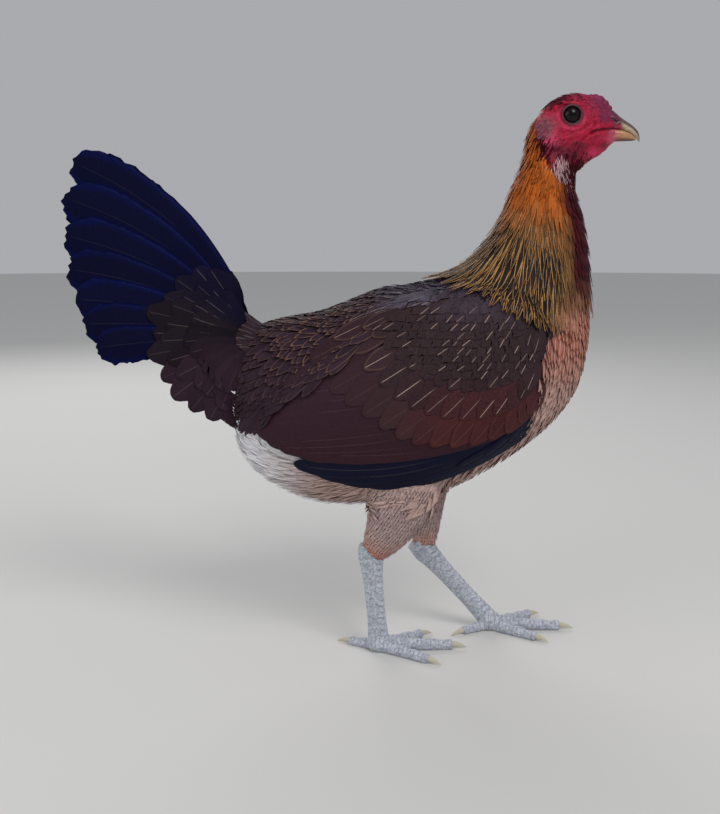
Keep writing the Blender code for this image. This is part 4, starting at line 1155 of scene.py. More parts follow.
class HEN_OT_coat(bpy.types.Operator):
    """The feathers of the back and the breast, and the fluff of the belly"""
    bl_idname = "hen.coat"
    bl_label = "Body feathers"

    def execute(self, context):
        paint, sizes = context.scene.hen_colours, context.scene.hen_sizes
        self.breast(paint, sizes)
        self.fluff(paint)
        self.back(paint)
        self.saddle(paint)
        return {"FINISHED"}

    def lay(self, plumage, tree, along, around, pull, length, half_width, rises, look):
        root, heading = lay_at(body_at, along, around, pull)
        path = walk(tree, root, heading, length * rng.uniform(0.88, 1.12), plumage.stations)
        half_width *= rng.uniform(0.9, 1.1)
        plumage.add(tree, path, half_width, rises, 0, look, body_home(along, around))

    def breast(self, paint, sizes):
        """Feathers of the breast, over the front edge of the wings."""
        plumage = Plumage(4, 5, "petal", thick=0.18, rounding=1.2, ragged=0.25, cup=0.05, soft=0.8)
        for along, around, fold, spot in body_tract(5, 14.2, sizes.coat_pitch, 4.2):
            if fold < 0.3 or spot[0] < 45 or under_wing(spot) > 9:
                continue
            depth = float(spline(BODY_ROWS, along)[6])
            over_wing = under_wing(spot) > -14 and spot[0] > 127
            below_wing = under_wing(spot) > -12 and spot[0] <= 127
            if below_wing and under_wing(spot) > 1:
                continue
            tree = bodies["envelope"] if over_wing else bodies["skin"]
            rises = (-depth, 0.9) if over_wing else (-0.7, 2.0 if below_wing else depth - 0.3)
            look = coat_look(paint, float(spot[0]), fold, float(spot[2]))
            self.lay(plumage, tree, along, around, 0.12, sizes.coat_length, 4.0, rises, look)
        material = feather_material("breast_feather", (0.70, 0.50, 0.42), grain=0.4, root=0.95)
        plumage.build("coat_breast", material)

    def fluff(self, paint):
        """Fine fluff under the body and at the vent."""
        plumage = Plumage(2, 5, "wisp", thick=0.25, rounding=1.0, ragged=0.3)
        for along, around, fold, spot in body_tract(0.5, 9, 3.4, 2.7):
            if fold < 0.5 or spot[0] > 70 or under_wing(spot) > 2:
                continue
            if spot[0] < -82 and spot[2] > 172:
                continue
            depth = float(spline(BODY_ROWS, along)[6])
            look = coat_look(paint, float(spot[0]), max(fold, 0.62))
            rises = (-0.6, min(depth * rng.uniform(0.5, 1.0), 9 if under_wing(spot) < -14 else 2.2))
            self.lay(plumage, bodies["skin"], along, around, rng.normal(0, 0.12), 17, 1.5, rises, look)
        material = feather_material("fluff", (0.6, 0.5, 0.45), grain=0.3, root=0.95, rough=0.8)
        plumage.build("coat_fluff", material)

    def back(self, paint):
        """Small feathers of the back."""
        plumage = Plumage(4, 5, "petal", thick=0.18, rounding=1.0, ragged=0.2, cup=0.05, soft=0.75)
        for along, around, fold, spot in body_tract(6, 14.5, 4.2, 4.6):
            if fold > 0.42 or under_wing(spot) > 6:
                continue
            depth = float(spline(BODY_ROWS, along)[6])
            look = coat_look(paint, float(spot[0]), fold)
            self.lay(plumage, bodies["skin"], along, around, 0.2, 19, 4.0, (-0.7, depth - 0.4), look)
        plumage.build("coat_back", feather_material("back_feather", paint.shaft[:3], grain=0.5))

    def saddle(self, paint):
        """Pointed feathers that fall from the back over the folded wings."""
        plumage = Plumage(4, 8, "petal", thick=0.2, rounding=1.3, ragged=0.2, cup=0.05, soft=0.7)
        tree = bodies["envelope"]
        for along, around, fold, spot in body_tract(0.5, 8.4, 4.8, 5.2):
            if fold > 0.5 or under_wing(spot) > 26:
                continue
            pull = (0.15 + 1.1 * float(smoothstep(0.05, 0.3, fold))) * rng.uniform(0.75, 1.3)
            length = rng.uniform(28, 40)
            root, heading = lay_at(body_at, along, around, pull)
            path = walk(tree, root, heading, length, plumage.stations)
            share = kept_over(path, SADDLE_TIPS, rng.uniform(-3, 2))
            if share < 0.4:
                continue
            rise = 0.8 if under_wing(spot) > -6 else float(spline(BODY_ROWS, along)[6])
            look = coat_look(paint, float(spot[0]), min(fold, 0.4))
            width = rng.uniform(3.8, 5.0)
            self.lay(plumage, tree, along, around, pull, length * share, width, (-rise, 1.2), look)
        material = feather_material("saddle_feather", paint.shaft[:3], grain=0.5)
        plumage.build("coat_saddle", material)


class HEN_OT_hackle(bpy.types.Operator):
    """The long neck feathers, in rows that fall over the shoulders"""
    bl_idname = "hen.hackle"
    bl_label = "Hackle"

    def execute(self, context):
        paint, sizes = context.scene.hen_colours, context.scene.hen_sizes
        material = feather_material("hackle_feather", (0.62, 0.42, 0.34), grain=0.6, rough=0.5)
        self.long_ones(paint, sizes.hackle_length, material)
        self.short_ones(paint, material)
        return {"FINISHED"}

    def long_ones(self, paint, longest, material):
        hackle = Plumage(4, 8, "lance", thick=0.2, rounding=1.5, ragged=0.15, cup=0.1, soft=0.65)
        tree = bodies["envelope"]
        low = tract_places(body_at, at_row(11.9), at_row(15.2), 7.5, 3.3)
        high_ones = tract_places(body_at, at_row(15.2), at_row(17.1), 4.4, 3.0)
        for along, around in np.concatenate([low, high_ones]):
            fold = folded(around)
            high = float(np.clip((along - NECK_BASE) / (NECK_TOP - NECK_BASE), 0, 1))
            if high < 0.1 and (fold > 0.7 or under_wing(body_at(along, around)) > 8):
                continue
            root, heading = lay_at(body_at, along, around, 0.12)
            front = float(smoothstep(0.5, 0.75, fold))
            length = longest * (1 - 0.5 * high) * (1 - 0.45 * front) * rng.uniform(0.85, 1.15)
            path = walk(tree, root, heading, length, hackle.stations)
            share = kept_over(path, HACKLE_TIPS, rng.uniform(-4, 5))
            if share < 0.3:
                continue
            path = walk(tree, root, heading, length * share, hackle.stations)
            half_width = (2.4 - 0.8 * high) * rng.uniform(0.85, 1.15)
            nape = 1.3 * float(smoothstep(0.35, 0.1, fold)) * float(smoothstep(0.2, 0.6, high))
            rises = (-0.9, 1.3 + nape + (1.5 - 1.0 * front) * rng.random())
            look = hackle_look(paint, high, fold)
            roll = 0.2 * (rng.random() - 0.5)
            hackle.add(tree, path, half_width, rises, roll, look, body_home(along, around))
        hackle.build("hackle", material)

    def short_ones(self, paint, material):
        """Fine feathers from the nape and the ears down, fewer in front."""
        fine = Plumage(2, 5, "lance", thick=0.2, rounding=1.0)
        tree = bodies["coat"]
        for along, around in tract_places(body_at, at_row(15.6), at_row(19.8), 1.9, 1.9):
            fold = folded(around)
            highest = np.interp(fold, (0, 0.2, 0.4, 0.55, 0.8, 1), (19.6, 18.6, 17.3, 16.6, 16.0, 15.8))
            if along > at_row(highest):
                continue
            root, heading = lay_at(body_at, along, around, 0.1)
            look = hackle_look(paint, 0.85 + 0.2 * rng.random(), fold)
            path = walk(tree, root, heading, rng.uniform(9, 15), fine.stations)
            nape = 2.0 * float(smoothstep(0.35, 0.1, fold))
            rises = (-0.5, rng.uniform(0.5, 1.4) + nape * rng.random())
            fine.add(tree, path, rng.uniform(0.6, 1.0), rises, 0, look, body_home(along, around))
        fine.build("hackle_fine", material)


class HEN_OT_thighs(bpy.types.Operator):
    """The short soft feathers of the thighs"""
    bl_idname = "hen.thighs"
    bl_label = "Thigh feathers"

    def execute(self, context):
        paint = context.scene.hen_colours
        plumage = Plumage(2, 4, "petal", thick=0.18, rounding=0.8, ragged=0.3, cup=0.05, soft=0.85)
        for word in ("left", "right"):
            def at(along, around):
                return limb_at(THIGH_ROWS[word], along, around)
            for along, around in tract_places(at, 0.02, 0.98, 2.6, 2.6):
                root, heading = lay_at(at, along, around, 0.1, ahead=0.03)
                low = named(paint.salmon) * (1.6, 1.4, 1.3)
                tint = blend(named(paint.buff), low, smoothstep(0.5, 1.0, along))
                grey = 0.5 * float(near(np.array([[along]]), (0.3,), (0.25,))[0])
                tint = blend(tint, (0.36, 0.28, 0.30), grey)
                path = walk(bodies["skin"], root, heading, 13 - 4 * along, plumage.stations)
                home = (0.2 + 0.1 * around + 0.5 * (word == "right"), 0.3 + 0.1 * along)
                plumage.add(
                    bodies["skin"], path, 1.9, (-0.6, THIGH_COAT - rng.uniform(0.2, 1.0)), 0,
                    (varied(tint, 0.14), tint, (0, 0, 0, 0)), home,
                )
        material = feather_material("thigh_feather", (0.5, 0.4, 0.34), root=0.8)
        plumage.build("coat_thighs", material)
        return {"FINISHED"}


# Feathers of the wing: root x, z, tip x, z, half width, sag and rise from the sheet, the lowest first.
PRIMARIES = (
    (123, 174, 24, 136.5, 7, 7, -1.0),
    (121, 178, 4, 136, 7.5, 9, -0.8),
    (119, 181, -14, 140, 8, 12.5, -0.6),
    (117, 184, -30, 145.5, 8, 15, -0.4),
    (116, 185, -46, 152, 8, 15, -0.2),
)
ALULA = (
    (121, 193, 66, 150, 5.5, 6, 0.2),
    (122.5, 199, 84, 157, 5.5, 5, 0.5),
    (124, 205, 101, 166, 5.2, 3, 0.8),
)
SECONDARIES = (
    (92, 172, -30, 161, 7.5, 4, 0.7),
    (84, 178, -45, 161.5, 8.5, 4, 0.8),
    (77, 184, -56, 164.5, 9, 4, 0.9),
    (70, 189, -64, 168.5, 9.5, 4, 1.0),
    (63, 193, -70, 173, 9.5, 3, 1.0),
    (56, 198, -73, 178, 10, 3, 1.0),
    (48, 204, -71, 184, 10, 2, 1.0),
    (40, 210, -66, 191, 10.5, 2, 1.0),
    (30, 217, -59, 199, 11, 2, 1.0),
    (18, 225, -50, 207, 11, 2, 1.0),
    (8, 231, -40, 215, 11, 2, 1.0),
)
# Rows of coverts: count, half width, rises at root and tip, and places along the row of tip x, z,
# heading up and length.
COVERT_ROWS = (
    (15, 9.5, (1.8, 2.2), (
        (-34, 222, 28, 40), (-20, 204, 30, 44), (2, 189, 34, 46), (24, 174, 38, 46),
        (47, 168, 44, 42), (74, 168, 50, 38), (98, 175, 58, 32), (113, 187, 66, 26),
    )),
    (14, 8.0, (2.4, 2.9), (
        (-18, 236, 26, 36), (4, 217, 30, 36), (26, 198, 36, 36), (48, 189, 42, 34),
        (74, 186, 50, 32), (97, 192, 58, 28), (110, 204, 66, 22),
    )),
    (16, 6.6, (2.9, 3.5), (
        (2, 243, 26, 28), (20, 229, 30, 28), (40, 214, 36, 28), (62, 206, 42, 26),
        (84, 207, 50, 24), (102, 213, 58, 22), (114, 222, 66, 18),
    )),
)

# How strong the pale shafts of the three rows and of the bow are, and how many feathers have one.
STREAKS, STREAK_ODDS = (0.1, 0.9, 0.8, 0.8), (1, 0.75, 0.6, 0.5)
BOW_ROW = 3
# Heading of the bow's feathers, in degrees at places along x.
BOW_HEADINGS = ((-20, 30, 75, 100, 120), (27, 34, 46, 56, 68))
# Lowest tips of the bow's feathers, as z at places along x.
BOW_LINE = ((0, 20, 40, 62, 84, 102, 114, 128), (246, 232, 217, 209, 210, 216, 224, 232))


class HEN_OT_wings(bpy.types.Operator):
    """The folded wings: primaries, secondaries and rows of coverts"""
    bl_idname = "hen.wings"
    bl_label = "Wings"

    def execute(self, context):
        paint = context.scene.hen_colours
        for word, side in (("left", 1), ("right", -1)):
            sheet = wing_sheet(bodies["coat"], side)
            self.flight(paint, word, side, sheet)
            self.coverts(paint, word, side, sheet)
        return {"FINISHED"}

    def flight(self, paint, word, side, sheet):
        quills = Plumage(
            6, 26, "flight", thick=0.3, rounding=0.9, ragged=0.05, cup=0.02, shaft=0.1, soft=0.7
        )
        home = (0.25 if side > 0 else 0.75, 0.3)
        for x0, z0, x1, z1, half_width, sag, rise in PRIMARIES + ALULA:
            path = side_path(sheet, (x0, z0), (x1, z1), side, quills.stations, sag)
            look = (varied(named(paint.primary)), named(paint.primary), (0, 0, 0.08, 0))
            quills.add(sheet, path, half_width, (rise, rise), 0, look, home)
        for k, (x0, z0, x1, z1, half_width, sag, rise) in enumerate(SECONDARIES):
            path = side_path(sheet, (x0, z0), (x1, z1), side, quills.stations, sag)
            tint = blend(named(paint.secondary), named(paint.saddle) * 1.3, 0.5 * k / len(SECONDARIES))
            look = (varied(tint, 0.08), named(paint.speckle), (0, 0, 0.05, 0.4))
            quills.add(sheet, path, half_width, (rise, rise), -0.3 * side, look, home)
        material = bpy.data.materials.get("flight_feather") or feather_material(
            "flight_feather", paint.shaft[:3], grain=0.45, root=0.9, rough=0.55, bump=0.3, gloss=0.1
        )
        quills.build(f"flight_feathers_{word}", material)

    def coverts(self, paint, word, side, sheet):
        coverts = Plumage(
            6, 9, "round", thick=0.22, rounding=0.9, ragged=0.08, cup=0.03, shaft=0.1, soft=0.8
        )
        small = Plumage(4, 7, "petal", thick=0.16, rounding=1.1, ragged=0.25, cup=0.02, soft=0.92)
        for row, (count, half_width, rises, places) in enumerate(COVERT_ROWS):
            for x, z, up, length in spline(places, np.linspace(0, 1, count)):
                self.covert(paint, coverts, sheet, side, (x, z), up, length, half_width, rises, row)
        for x, z in bow_places():
            up = float(np.interp(x, *BOW_HEADINGS))
            size = rng.uniform(0.85, 1.15)
            up += rng.normal(0, 4)
            self.covert(
                paint, small, sheet, side, (x, z), up, 17 * size, 4.6 * size, (2.9, 4.1), BOW_ROW
            )
        material = bpy.data.materials.get("covert_feather") or feather_material(
            "covert_feather", (0.52, 0.36, 0.30), grain=0.5, root=0.9, gloss=0.1
        )
        coverts.build(f"wing_coverts_{word}", material)
        small.build(f"wing_bow_{word}", material)

    def covert(self, paint, coverts, sheet, side, tip, up, length, half_width, rises, row):
        turn = math.radians(up)
        x, z = tip
        root = (x + length * math.cos(turn), z + length * math.sin(turn))
        path = side_path(sheet, root, tip, side, coverts.stations)
        over_top = root[1] - wing_edges(root[0])[0]
        dip = 6.5 * float(smoothstep(-4, 6, over_top)) * (row == BOW_ROW)
        rises = (rises[0] - dip, rises[1] - 0.3 * dip)
        red = float(smoothstep(215, 175, z)) * float(smoothstep(-10, 60, x))
        tint = blend(named(paint.bow), named(paint.bow_red), red)
        high = float(smoothstep(236, 262, z) * smoothstep(35, 60, x) * smoothstep(115, 90, x))
        tint = blend(tint, named(paint.slate), 0.6 * high)
        tint = blend(tint, named(paint.secondary), 0.6 * float(smoothstep(20, -20, x)))
        lace = rng.uniform(0.0, 0.12) * (row == 0 and x > 36) + 0.2 * (row in (1, 2)) * (x < 12)
        streak = STREAKS[row] * (rng.random() < STREAK_ODDS[row]) * rng.uniform(0.4, 1.0)
        if row == 0 and abs(x - 29) < 4.5:
            tint, lace = blend(tint, named(paint.black), 0.8), 0
        mark = blend(named(paint.speckle), named(paint.lacing), float(lace > 0))
        look = (varied(tint, 0.14), mark, (0, lace, streak, 0.7 * (row > 0 and lace == 0)))
        home = (0.25 if side > 0 else 0.75, 0.3 + 0.001 * x)
        coverts.add(sheet, path, half_width, rises, -0.4 * side * (row < BOW_ROW), look, home)


def bow_places():
    """Tips of the small feathers over the wing's bow, in staggered rows."""
    found = []
    for row in range(14):
        for k in range(26):
            x = -8 + 6.4 * k + 3.2 * (row % 2) + 1.6 * (rng.random() - 0.5)
            z = 208 + 4.9 * row + 1.4 * (rng.random() - 0.5)
            if x > 128:
                continue
            top = wing_edges(x)[0]
            line = float(np.interp(x, *BOW_LINE))
            if line < z < min(top - 1, float(np.interp(x, *zip(*HACKLE_TIPS))) - 2):
                found.append((x, z))
    return found


# Main tail feathers of a side, the lowest first: angle above the level at the tip, reach and half width.
TAIL_FEATHERS = (
    (-3, 108.5, 14.5), (5, 118, 16), (12.5, 126, 17.5), (20.5, 137, 18.5), (28.5, 149, 19),
    (36.5, 163, 19), (44, 174.5, 17.5),
)
TAIL_BEND, TAIL_START = 18, 34
# Rows of tail coverts: count, half width, rises at root and tip, start, reach, first and last angle.
TAIL_COVERT_ROWS = (
    (11, 13, (1.2, 2.0), 30, 78, -74, 58),
    (11, 12, (1.6, 2.8), 22, 66, -70, 56),
    (12, 10.5, (2.0, 3.4), 12, 52, -66, 53),
)
TAIL_COVERT_SHARES = ((-74, -45, -10, 6, 24, 58), (0.82, 0.86, 0.93, 0.98, 0.93, 0.86))


class HEN_OT_tail(bpy.types.Operator):
    """The main feathers of the tail, and the coverts over their roots"""
    bl_idname = "hen.tail"
    bl_label = "Tail"

    def execute(self, context):
        paint = context.scene.hen_colours
        main = Plumage(
            10, 34, "tail", thick=0.35, rounding=0.5, ragged=0.16, cup=0.03, shaft=0.2, soft=0.5
        )
        coverts = Plumage(
            6, 12, "round", thick=0.25, rounding=0.9, ragged=0.06, cup=0.05, shaft=0.1, soft=0.6
        )
        for side in (1, -1):
            sheet = tail_sheet(side)
            for angle, reach, half_width in TAIL_FEATHERS:
                path = []
                for t in main.stations:
                    bent = angle + TAIL_BEND * (1 - t) * (angle + 8) / 50
                    path.append(tail_at(TAIL_START + (reach - TAIL_START) * t, bent, side))
                # A blacker middle under blue rims: the blue towards the rims is painted sheen over the
                # feathers' black
                look = (varied(named(paint.tail) * 1.4), named(paint.black) * 0.3, (0.55, 0, 0.2, 0))
                home = (0.25 if side > 0 else 0.75, 0.03 + 0.0005 * angle)
                main.add(sheet, path, half_width, (0, 0), -0.9 * side, look, home)
            self.coverts(paint, coverts, side)
        main.build("tail_feathers", feather_material(
            "tail_feather", (0.05, 0.045, 0.06), grain=0.5, root=0.8, rough=0.45, bump=0.3, gloss=0.05
        ))
        self.base(paint)
        coverts.build("tail_coverts", feather_material(
            "tail_covert", (0.20, 0.15, 0.13), grain=0.5, root=0.7, gloss=0.05))
        return {"FINISHED"}

    def base(self, paint):
        """Short feathers over the root of the tail, under the coverts and the saddle."""
        def at(along, around):
            return section(TAIL_BASE_ROWS, along, around)
        tree = bodies["tail"]
        short = Plumage(4, 8, "petal", thick=0.2, rounding=1.3, ragged=0.2, cup=0.05, soft=0.8)
        for along, around in tract_places(at, 0.0, 0.85, 4.4, 4.8):
            root, heading = lay_at(at, along, around, 0.0, ahead=0.05)
            path = walk(tree, root, heading, rng.uniform(20, 28), short.stations)
            tint = varied(named(paint.saddle) * 0.8, 0.25)
            look = (tint, named(paint.lacing), (0, rng.uniform(0, 0.35), 0.2, 0))
            home = (0.1 + 0.8 * around, 0.02)
            short.add(tree, path, rng.uniform(3.8, 5.0), (-0.8, 1.4), 0, look, home)
        short.build("tail_base_coverts", bpy.data.materials["saddle_feather"])

    def coverts(self, paint, coverts, side):
        sheet = tail_sheet(side, bodies["tail"])
        for row, sizes in enumerate(TAIL_COVERT_ROWS):
            count, half_width, rises, start, reach, first, last = sizes
            for k in range(count):
                angle = first + (last - first) * (k + 0.5 * (row % 2)) / (count - 0.5)
                share = float(np.interp(angle, *TAIL_COVERT_SHARES)) * rng.uniform(0.93, 1.05)
                length = reach * share - start
                angle += rng.uniform(-2.5, 2.5)
                path = [
                    tail_at(start + length * t, angle, side, bodies["tail"]) for t in coverts.stations
                ]
                blue = 0.5 * float(smoothstep(15, 45, angle))
                tint = blend(named(paint.covert), named(paint.tail), blue)
                tint = blend(tint, named(paint.saddle), float(smoothstep(0, -40, angle)))
                streak = rng.uniform(0.1, 0.45) * (1 - 0.4 * float(smoothstep(0, -40, angle)))
                look = (varied(tint, 0.2), named(paint.lacing), (0, 0, streak, 0))
                home = (0.25 if side > 0 else 0.75, 0.04 + 0.0004 * angle)
                coverts.add(sheet, path, half_width, rises, -0.5 * side, look, home)


# Eyes and bill


def new_material(name, rough):
    """A material, its node helper and its shader."""
    material = bpy.data.materials.new(name)
    material.use_nodes = True
    shader = material.node_tree.nodes["Principled BSDF"]
    shader.inputs["Roughness"].default_value = rough
    return material, Nodes(material.node_tree), shader


def eye_material(paint):
    """A dark iris round a black pupil, under a wet clear coat."""
    material, n, shader = new_material("wet_eye", 0.4)
    shader.inputs["Specular IOR Level"].default_value = 0.0
    coords = n.add("ShaderNodeTexCoord", output="Object")
    middle = Vector(EYE_AT) * MM + Vector(SHIFT)
    away = n.add("ShaderNodeVectorMath", (coords, middle), operation="SUBTRACT")
    flat = n.add("ShaderNodeVectorMath", (away, (1000, 0, 1000)), operation="MULTIPLY")
    reach = n.add("ShaderNodeVectorMath", (flat,), output=1, operation="LENGTH")
    rays = n.noise(n.add("ShaderNodeVectorMath", (flat,), operation="NORMALIZE"), 9.0)
    iris = n.mix(n.step(rays, 0.35, 0.65), named(paint.iris) * 0.5, named(paint.iris))
    colour = n.mix(n.step(reach, 2.5, 2.8), (0.001, 0.001, 0.001), iris)
    colour = n.mix(n.step(reach, 3.9, 4.8), colour, (0.006, 0.002, 0.002))
    n.put(shader.inputs["Base Color"], colour)
    shader.inputs["Coat Weight"].default_value = 0.7
    shader.inputs["Coat IOR"].default_value = 1.36
    shader.inputs["Coat Roughness"].default_value = 0.02
    return material


class HEN_OT_eyes(bpy.types.Operator):
    """Both eyes, wet and nearly black"""
    bl_idname = "hen.eyes"
    bl_label = "Eyes"

    def execute(self, context):
        material = eye_material(context.scene.hen_colours)
        for word, side in (("left", 1), ("right", -1)):
            bm = bmesh.new()
            bmesh.ops.create_uvsphere(bm, u_segments=64, v_segments=40, radius=EYE_RADIUS)
            bmesh.ops.translate(bm, vec=Vector((EYE_AT[0], EYE_AT[1] * side, EYE_AT[2])), verts=bm.verts)
            eye = add_bmesh(f"eyeball_{word}", bm, material)
            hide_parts(f"eye_{word}")
        return {"FINISHED"}


# Rows of the bill like those of the body.
UPPER_BILL_ROWS = (
    (160, 399, 160, 380.2, 5.4, 2.3, 0),
    (165, 398.2, 164, 380.0, 6.2, 2.3, 0),
    (171.4, 395.6, 171, 379.8, 6.5, 2.3, 0),
    (176.5, 391.9, 176.5, 379.9, 6.0, 2.3, 0),
    (181.4, 388.0, 182, 379.5, 5.0, 2.2, 0),
    (186, 385.0, 185.5, 378.6, 4.2, 2.1, 0),
    (190.5, 382.0, 188.8, 377.2, 3.3, 2.0, 0),
    (193.8, 378.6, 191.6, 375.0, 2.2, 2.0, 0),
    (195.2, 374.6, 193.6, 373.0, 1.1, 2.0, 0),
    (195.4, 371.8, 194.9, 371.4, 0.3, 2.0, 0),
)
LOWER_BILL_ROWS = (
    (160, 380.6, 162, 369.6, 4.8, 2.3, 0),
    (164, 380.4, 166, 369.4, 5.4, 2.3, 0),
    (171, 380.3, 172, 370.8, 5.5, 2.3, 0),
    (177, 380.0, 178, 371.5, 4.7, 2.2, 0),
    (183, 379.4, 184, 371.8, 3.7, 2.1, 0),
    (188, 377.5, 189, 372.0, 2.6, 2.0, 0),
    (191, 375.4, 191.6, 372.4, 1.5, 2.0, 0),
    (192.6, 373.6, 192.7, 372.9, 0.4, 2.0, 0),
)
NOSTRIL_AT, NOSTRIL_SIZE, NOSTRIL_TURN = (175.6, 5.6, 385.4), (3.2, 1.0), -14


def horn_material():
    """Horn with fine streaks along it, over the colours at its vertices."""
    material, n, shader = new_material("horn", 0.32)
    coords = n.add("ShaderNodeTexCoord", output="Object")
    long_way = n.add("ShaderNodeVectorMath", (coords, (300, 1500, 1500)), operation="MULTIPLY")
    streaks = n.noise(long_way, 1.0, 3.0, 0.6)
    tint = n.add("ShaderNodeAttribute", attribute_name="Tint")
    shade = n.step(streaks, 0.2, 0.8, 0.75, 1.2)
    n.put(
        shader.inputs["Base Color"],
        n.mix(1.0, tint, n.add("ShaderNodeCombineXYZ", (shade, shade, shade)), "MULTIPLY"),
    )
    relief = n.bump(0.25, streaks, 0.0003)
    n.put(shader.inputs["Normal"], relief)
    shader.inputs["Coat Weight"].default_value = 0.05
    shader.inputs["Coat Roughness"].default_value = 0.25
    shader.inputs["Subsurface Weight"].default_value = 0.1
    shader.inputs["Subsurface Radius"].default_value = (0.003, 0.002, 0.001)
    return material


def bill_half(rows, narrow_up, narrow_down):
    """Points, faces and normals of one half of the bill, narrower at its ridge or its underside."""
    def at(along, around):
        spots = section(rows, along, around)
        up = np.cos(2 * np.pi * around)
        spots[:, 1] *= 1 - narrow_up * (1 + up) / 2 - narrow_down * (1 - up) / 2
        return spots

    bm = tube(at, 90, 72)
    bm.normal_update()
    bm.verts.index_update()
    co = np.array([v.co for v in bm.verts])
    out = np.array([v.normal for v in bm.verts])
    faces = [tuple(v.index for v in face.verts) for face in bm.faces]
    bm.free()
    return co, faces, out


def height_share(rows, co):
    """How high points lie between the lower and the upper edge of such rows, from 0 to 1."""
    fine = spline(rows, np.linspace(0, 1, 60))
    top = np.interp(co[:, 0], fine[:, 0], fine[:, 1])
    low = np.interp(co[:, 0], fine[:, 2], fine[:, 3])
    return (co[:, 2] - low) / np.maximum(top - low, 0.5)


class HEN_OT_bill(bpy.types.Operator):
    """The two halves of the bill, with the nostrils in soft skin at its root"""
    bl_idname = "hen.bill"
    bl_label = "Bill"

    def execute(self, context):
        paint = context.scene.hen_colours
        horn = horn_material()
        co, faces, out = bill_half(UPPER_BILL_ROWS, 0.35, 0.0)
        turn = math.radians(NOSTRIL_TURN)
        x, z = co[:, 0] - NOSTRIL_AT[0], co[:, 2] - NOSTRIL_AT[2]
        long_way = x * math.cos(turn) + z * math.sin(turn)
        cross_way = z * math.cos(turn) - x * math.sin(turn)
        slit = np.hypot(long_way / NOSTRIL_SIZE[0], cross_way / NOSTRIL_SIZE[1])
        hole = smoothstep(1.25, 0.6, slit)
        flap = np.exp(-(long_way / 3.2) ** 2 - ((cross_way - 1.7) / 1.1) ** 2)
        grain = np.array([noise.noise(Vector(spot) * 1.0) for spot in co])
        soft = smoothstep(183.5, 179.5, co[:, 0] + 0.25 * (co[:, 2] - 384))
        co += out * (0.3 * flap - 1.3 * hole + 0.14 * grain * soft)[:, None]
        high = height_share(UPPER_BILL_ROWS, co)
        ridge = smoothstep(0.35, 0.65, high)
        horny = blend(named(paint.horn_pale)[None], named(paint.horn_dark)[None], (0.9 * ridge)[:, None])
        tip = smoothstep(190, 195, co[:, 0])[:, None]
        horny = blend(horny, named(paint.horn_dark)[None] * 1.6, 0.5 * tip)
        purple = smoothstep(380.5, 384, co[:, 2])[:, None]
        cere = blend(named(paint.lobe)[None] * (0.6, 0.4, 0.6), named(paint.comb)[None] * 0.6, purple)
        tint = blend(horny, cere, soft[:, None])
        # The nostril's slit is painted near black: painted shade in the hole
        tint = blend(tint, np.array([[0.01, 0.003, 0.004]]), hole[:, None])
        upper = add_piece("bill_upper", co, faces, horn)
        set_colours(upper, "Tint", tint)
        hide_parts("beak_upper")
        co, faces, out = bill_half(LOWER_BILL_ROWS, -0.05, 0.35)
        high = height_share(LOWER_BILL_ROWS, co)
        soft = smoothstep(183, 173, co[:, 0])[:, None]
        # The underside of the lower bill is painted darker: painted shade under it
        under = smoothstep(0.4, 0.1, high)[:, None]
        pale = named(paint.horn_pale)[None] * (0.9, 0.55, 0.4)
        tint = blend(pale, named(paint.dusk)[None], 0.8 * under)
        tint = blend(tint, named(paint.lobe)[None] * (0.7, 1.6, 0.9), soft)
        lower = add_piece("bill_lower", co, faces, horn)
        set_colours(lower, "Tint", tint)
        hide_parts("beak_lower")
        return {"FINISHED"}


# Legs

HOCK_AT = {"right": (8, -19.5, 76.5), "left": (50.5, 30, 65.5)}
ANKLE_AT = {"right": (14, -9, 8), "left": (102, 33, 8)}
SHANK_ROWS = (  # place from hock to ankle, half depth and half width
    (-0.14, 8.0, 6.5), (0.0, 9.4, 7.2), (0.12, 8.2, 6.4), (0.3, 7.2, 5.6), (0.5, 6.9, 5.4),
    (0.7, 6.8, 5.4), (0.88, 7.4, 6.0), (0.97, 7.6, 6.6),
)
TOES = {  # heading from straight ahead towards the body's inner side, length, half thickness, swells
    "inner": (34, 40, 4.1, 3),
    "middle": (0, 54, 4.5, 4),
    "outer": (-36, 42, 4.1, 4),
    "back": (150, 24, 3.6, 2),
}
TOE_TURN, TOE_SINK = 2, 0.86
SHANK_SCUTE, TOE_SCUTE = 5.0, 3.2
CLAW_LENGTH, CLAW_RADIUS = 11, 2.2
CLAW_ROWS = (  # place along, height over the toe's middle and share of the radius
    (-0.35, 0.0, 0.8), (-0.1, 0.25, 1.0), (0.15, 0.35, 0.95), (0.45, 0.0, 0.72),
    (0.75, -0.9, 0.42), (0.93, -1.7, 0.2), (1.0, -2.1, 0.06),
)


def toe_frame(word, toe):
    """A toe's start, heading and how far its joints lie, in the plane of the floor."""
    heading, length, thick, swells = TOES[toe]
    turn = math.radians(heading + TOE_TURN) * (1 if word == "right" else -1)
    start = Vector((ANKLE_AT[word][0], ANKLE_AT[word][1], 0))
    return start, Vector((math.cos(turn), math.sin(turn), 0)), length, thick, swells


def toe_rows(word, toe):
    """Rows of a toe: centre x, y, z, half depth and half width, swollen at each joint's pad."""
    start, ahead, length, thick, swells = toe_frame(word, toe)
    rows = []
    for t in np.linspace(0, 1.02, 25):
        pad = 0.5 + 0.5 * math.cos(2 * math.pi * t * swells)
        radius = thick * (1.12 - 0.34 * t + 0.12 * pad)
        spot = start + ahead * length * t
        rows.append((spot.x, spot.y, radius * TOE_SINK, radius, radius * 0.96))
    return rows


def shank_rows(word):
    hock, ankle = Vector(HOCK_AT[word]), Vector(ANKLE_AT[word])
    return [(*(hock + (ankle - hock) * t), depth, width) for t, depth, width in SHANK_ROWS]


def ridges(place, pitch):
    """Relief of overlapping plates along a line: each rises to a groove before the next."""
    phase = (place / pitch) % 1.0
    return 0.30 * phase - 0.42 * np.exp(-(np.minimum(phase, 1 - phase) / 0.07) ** 2)


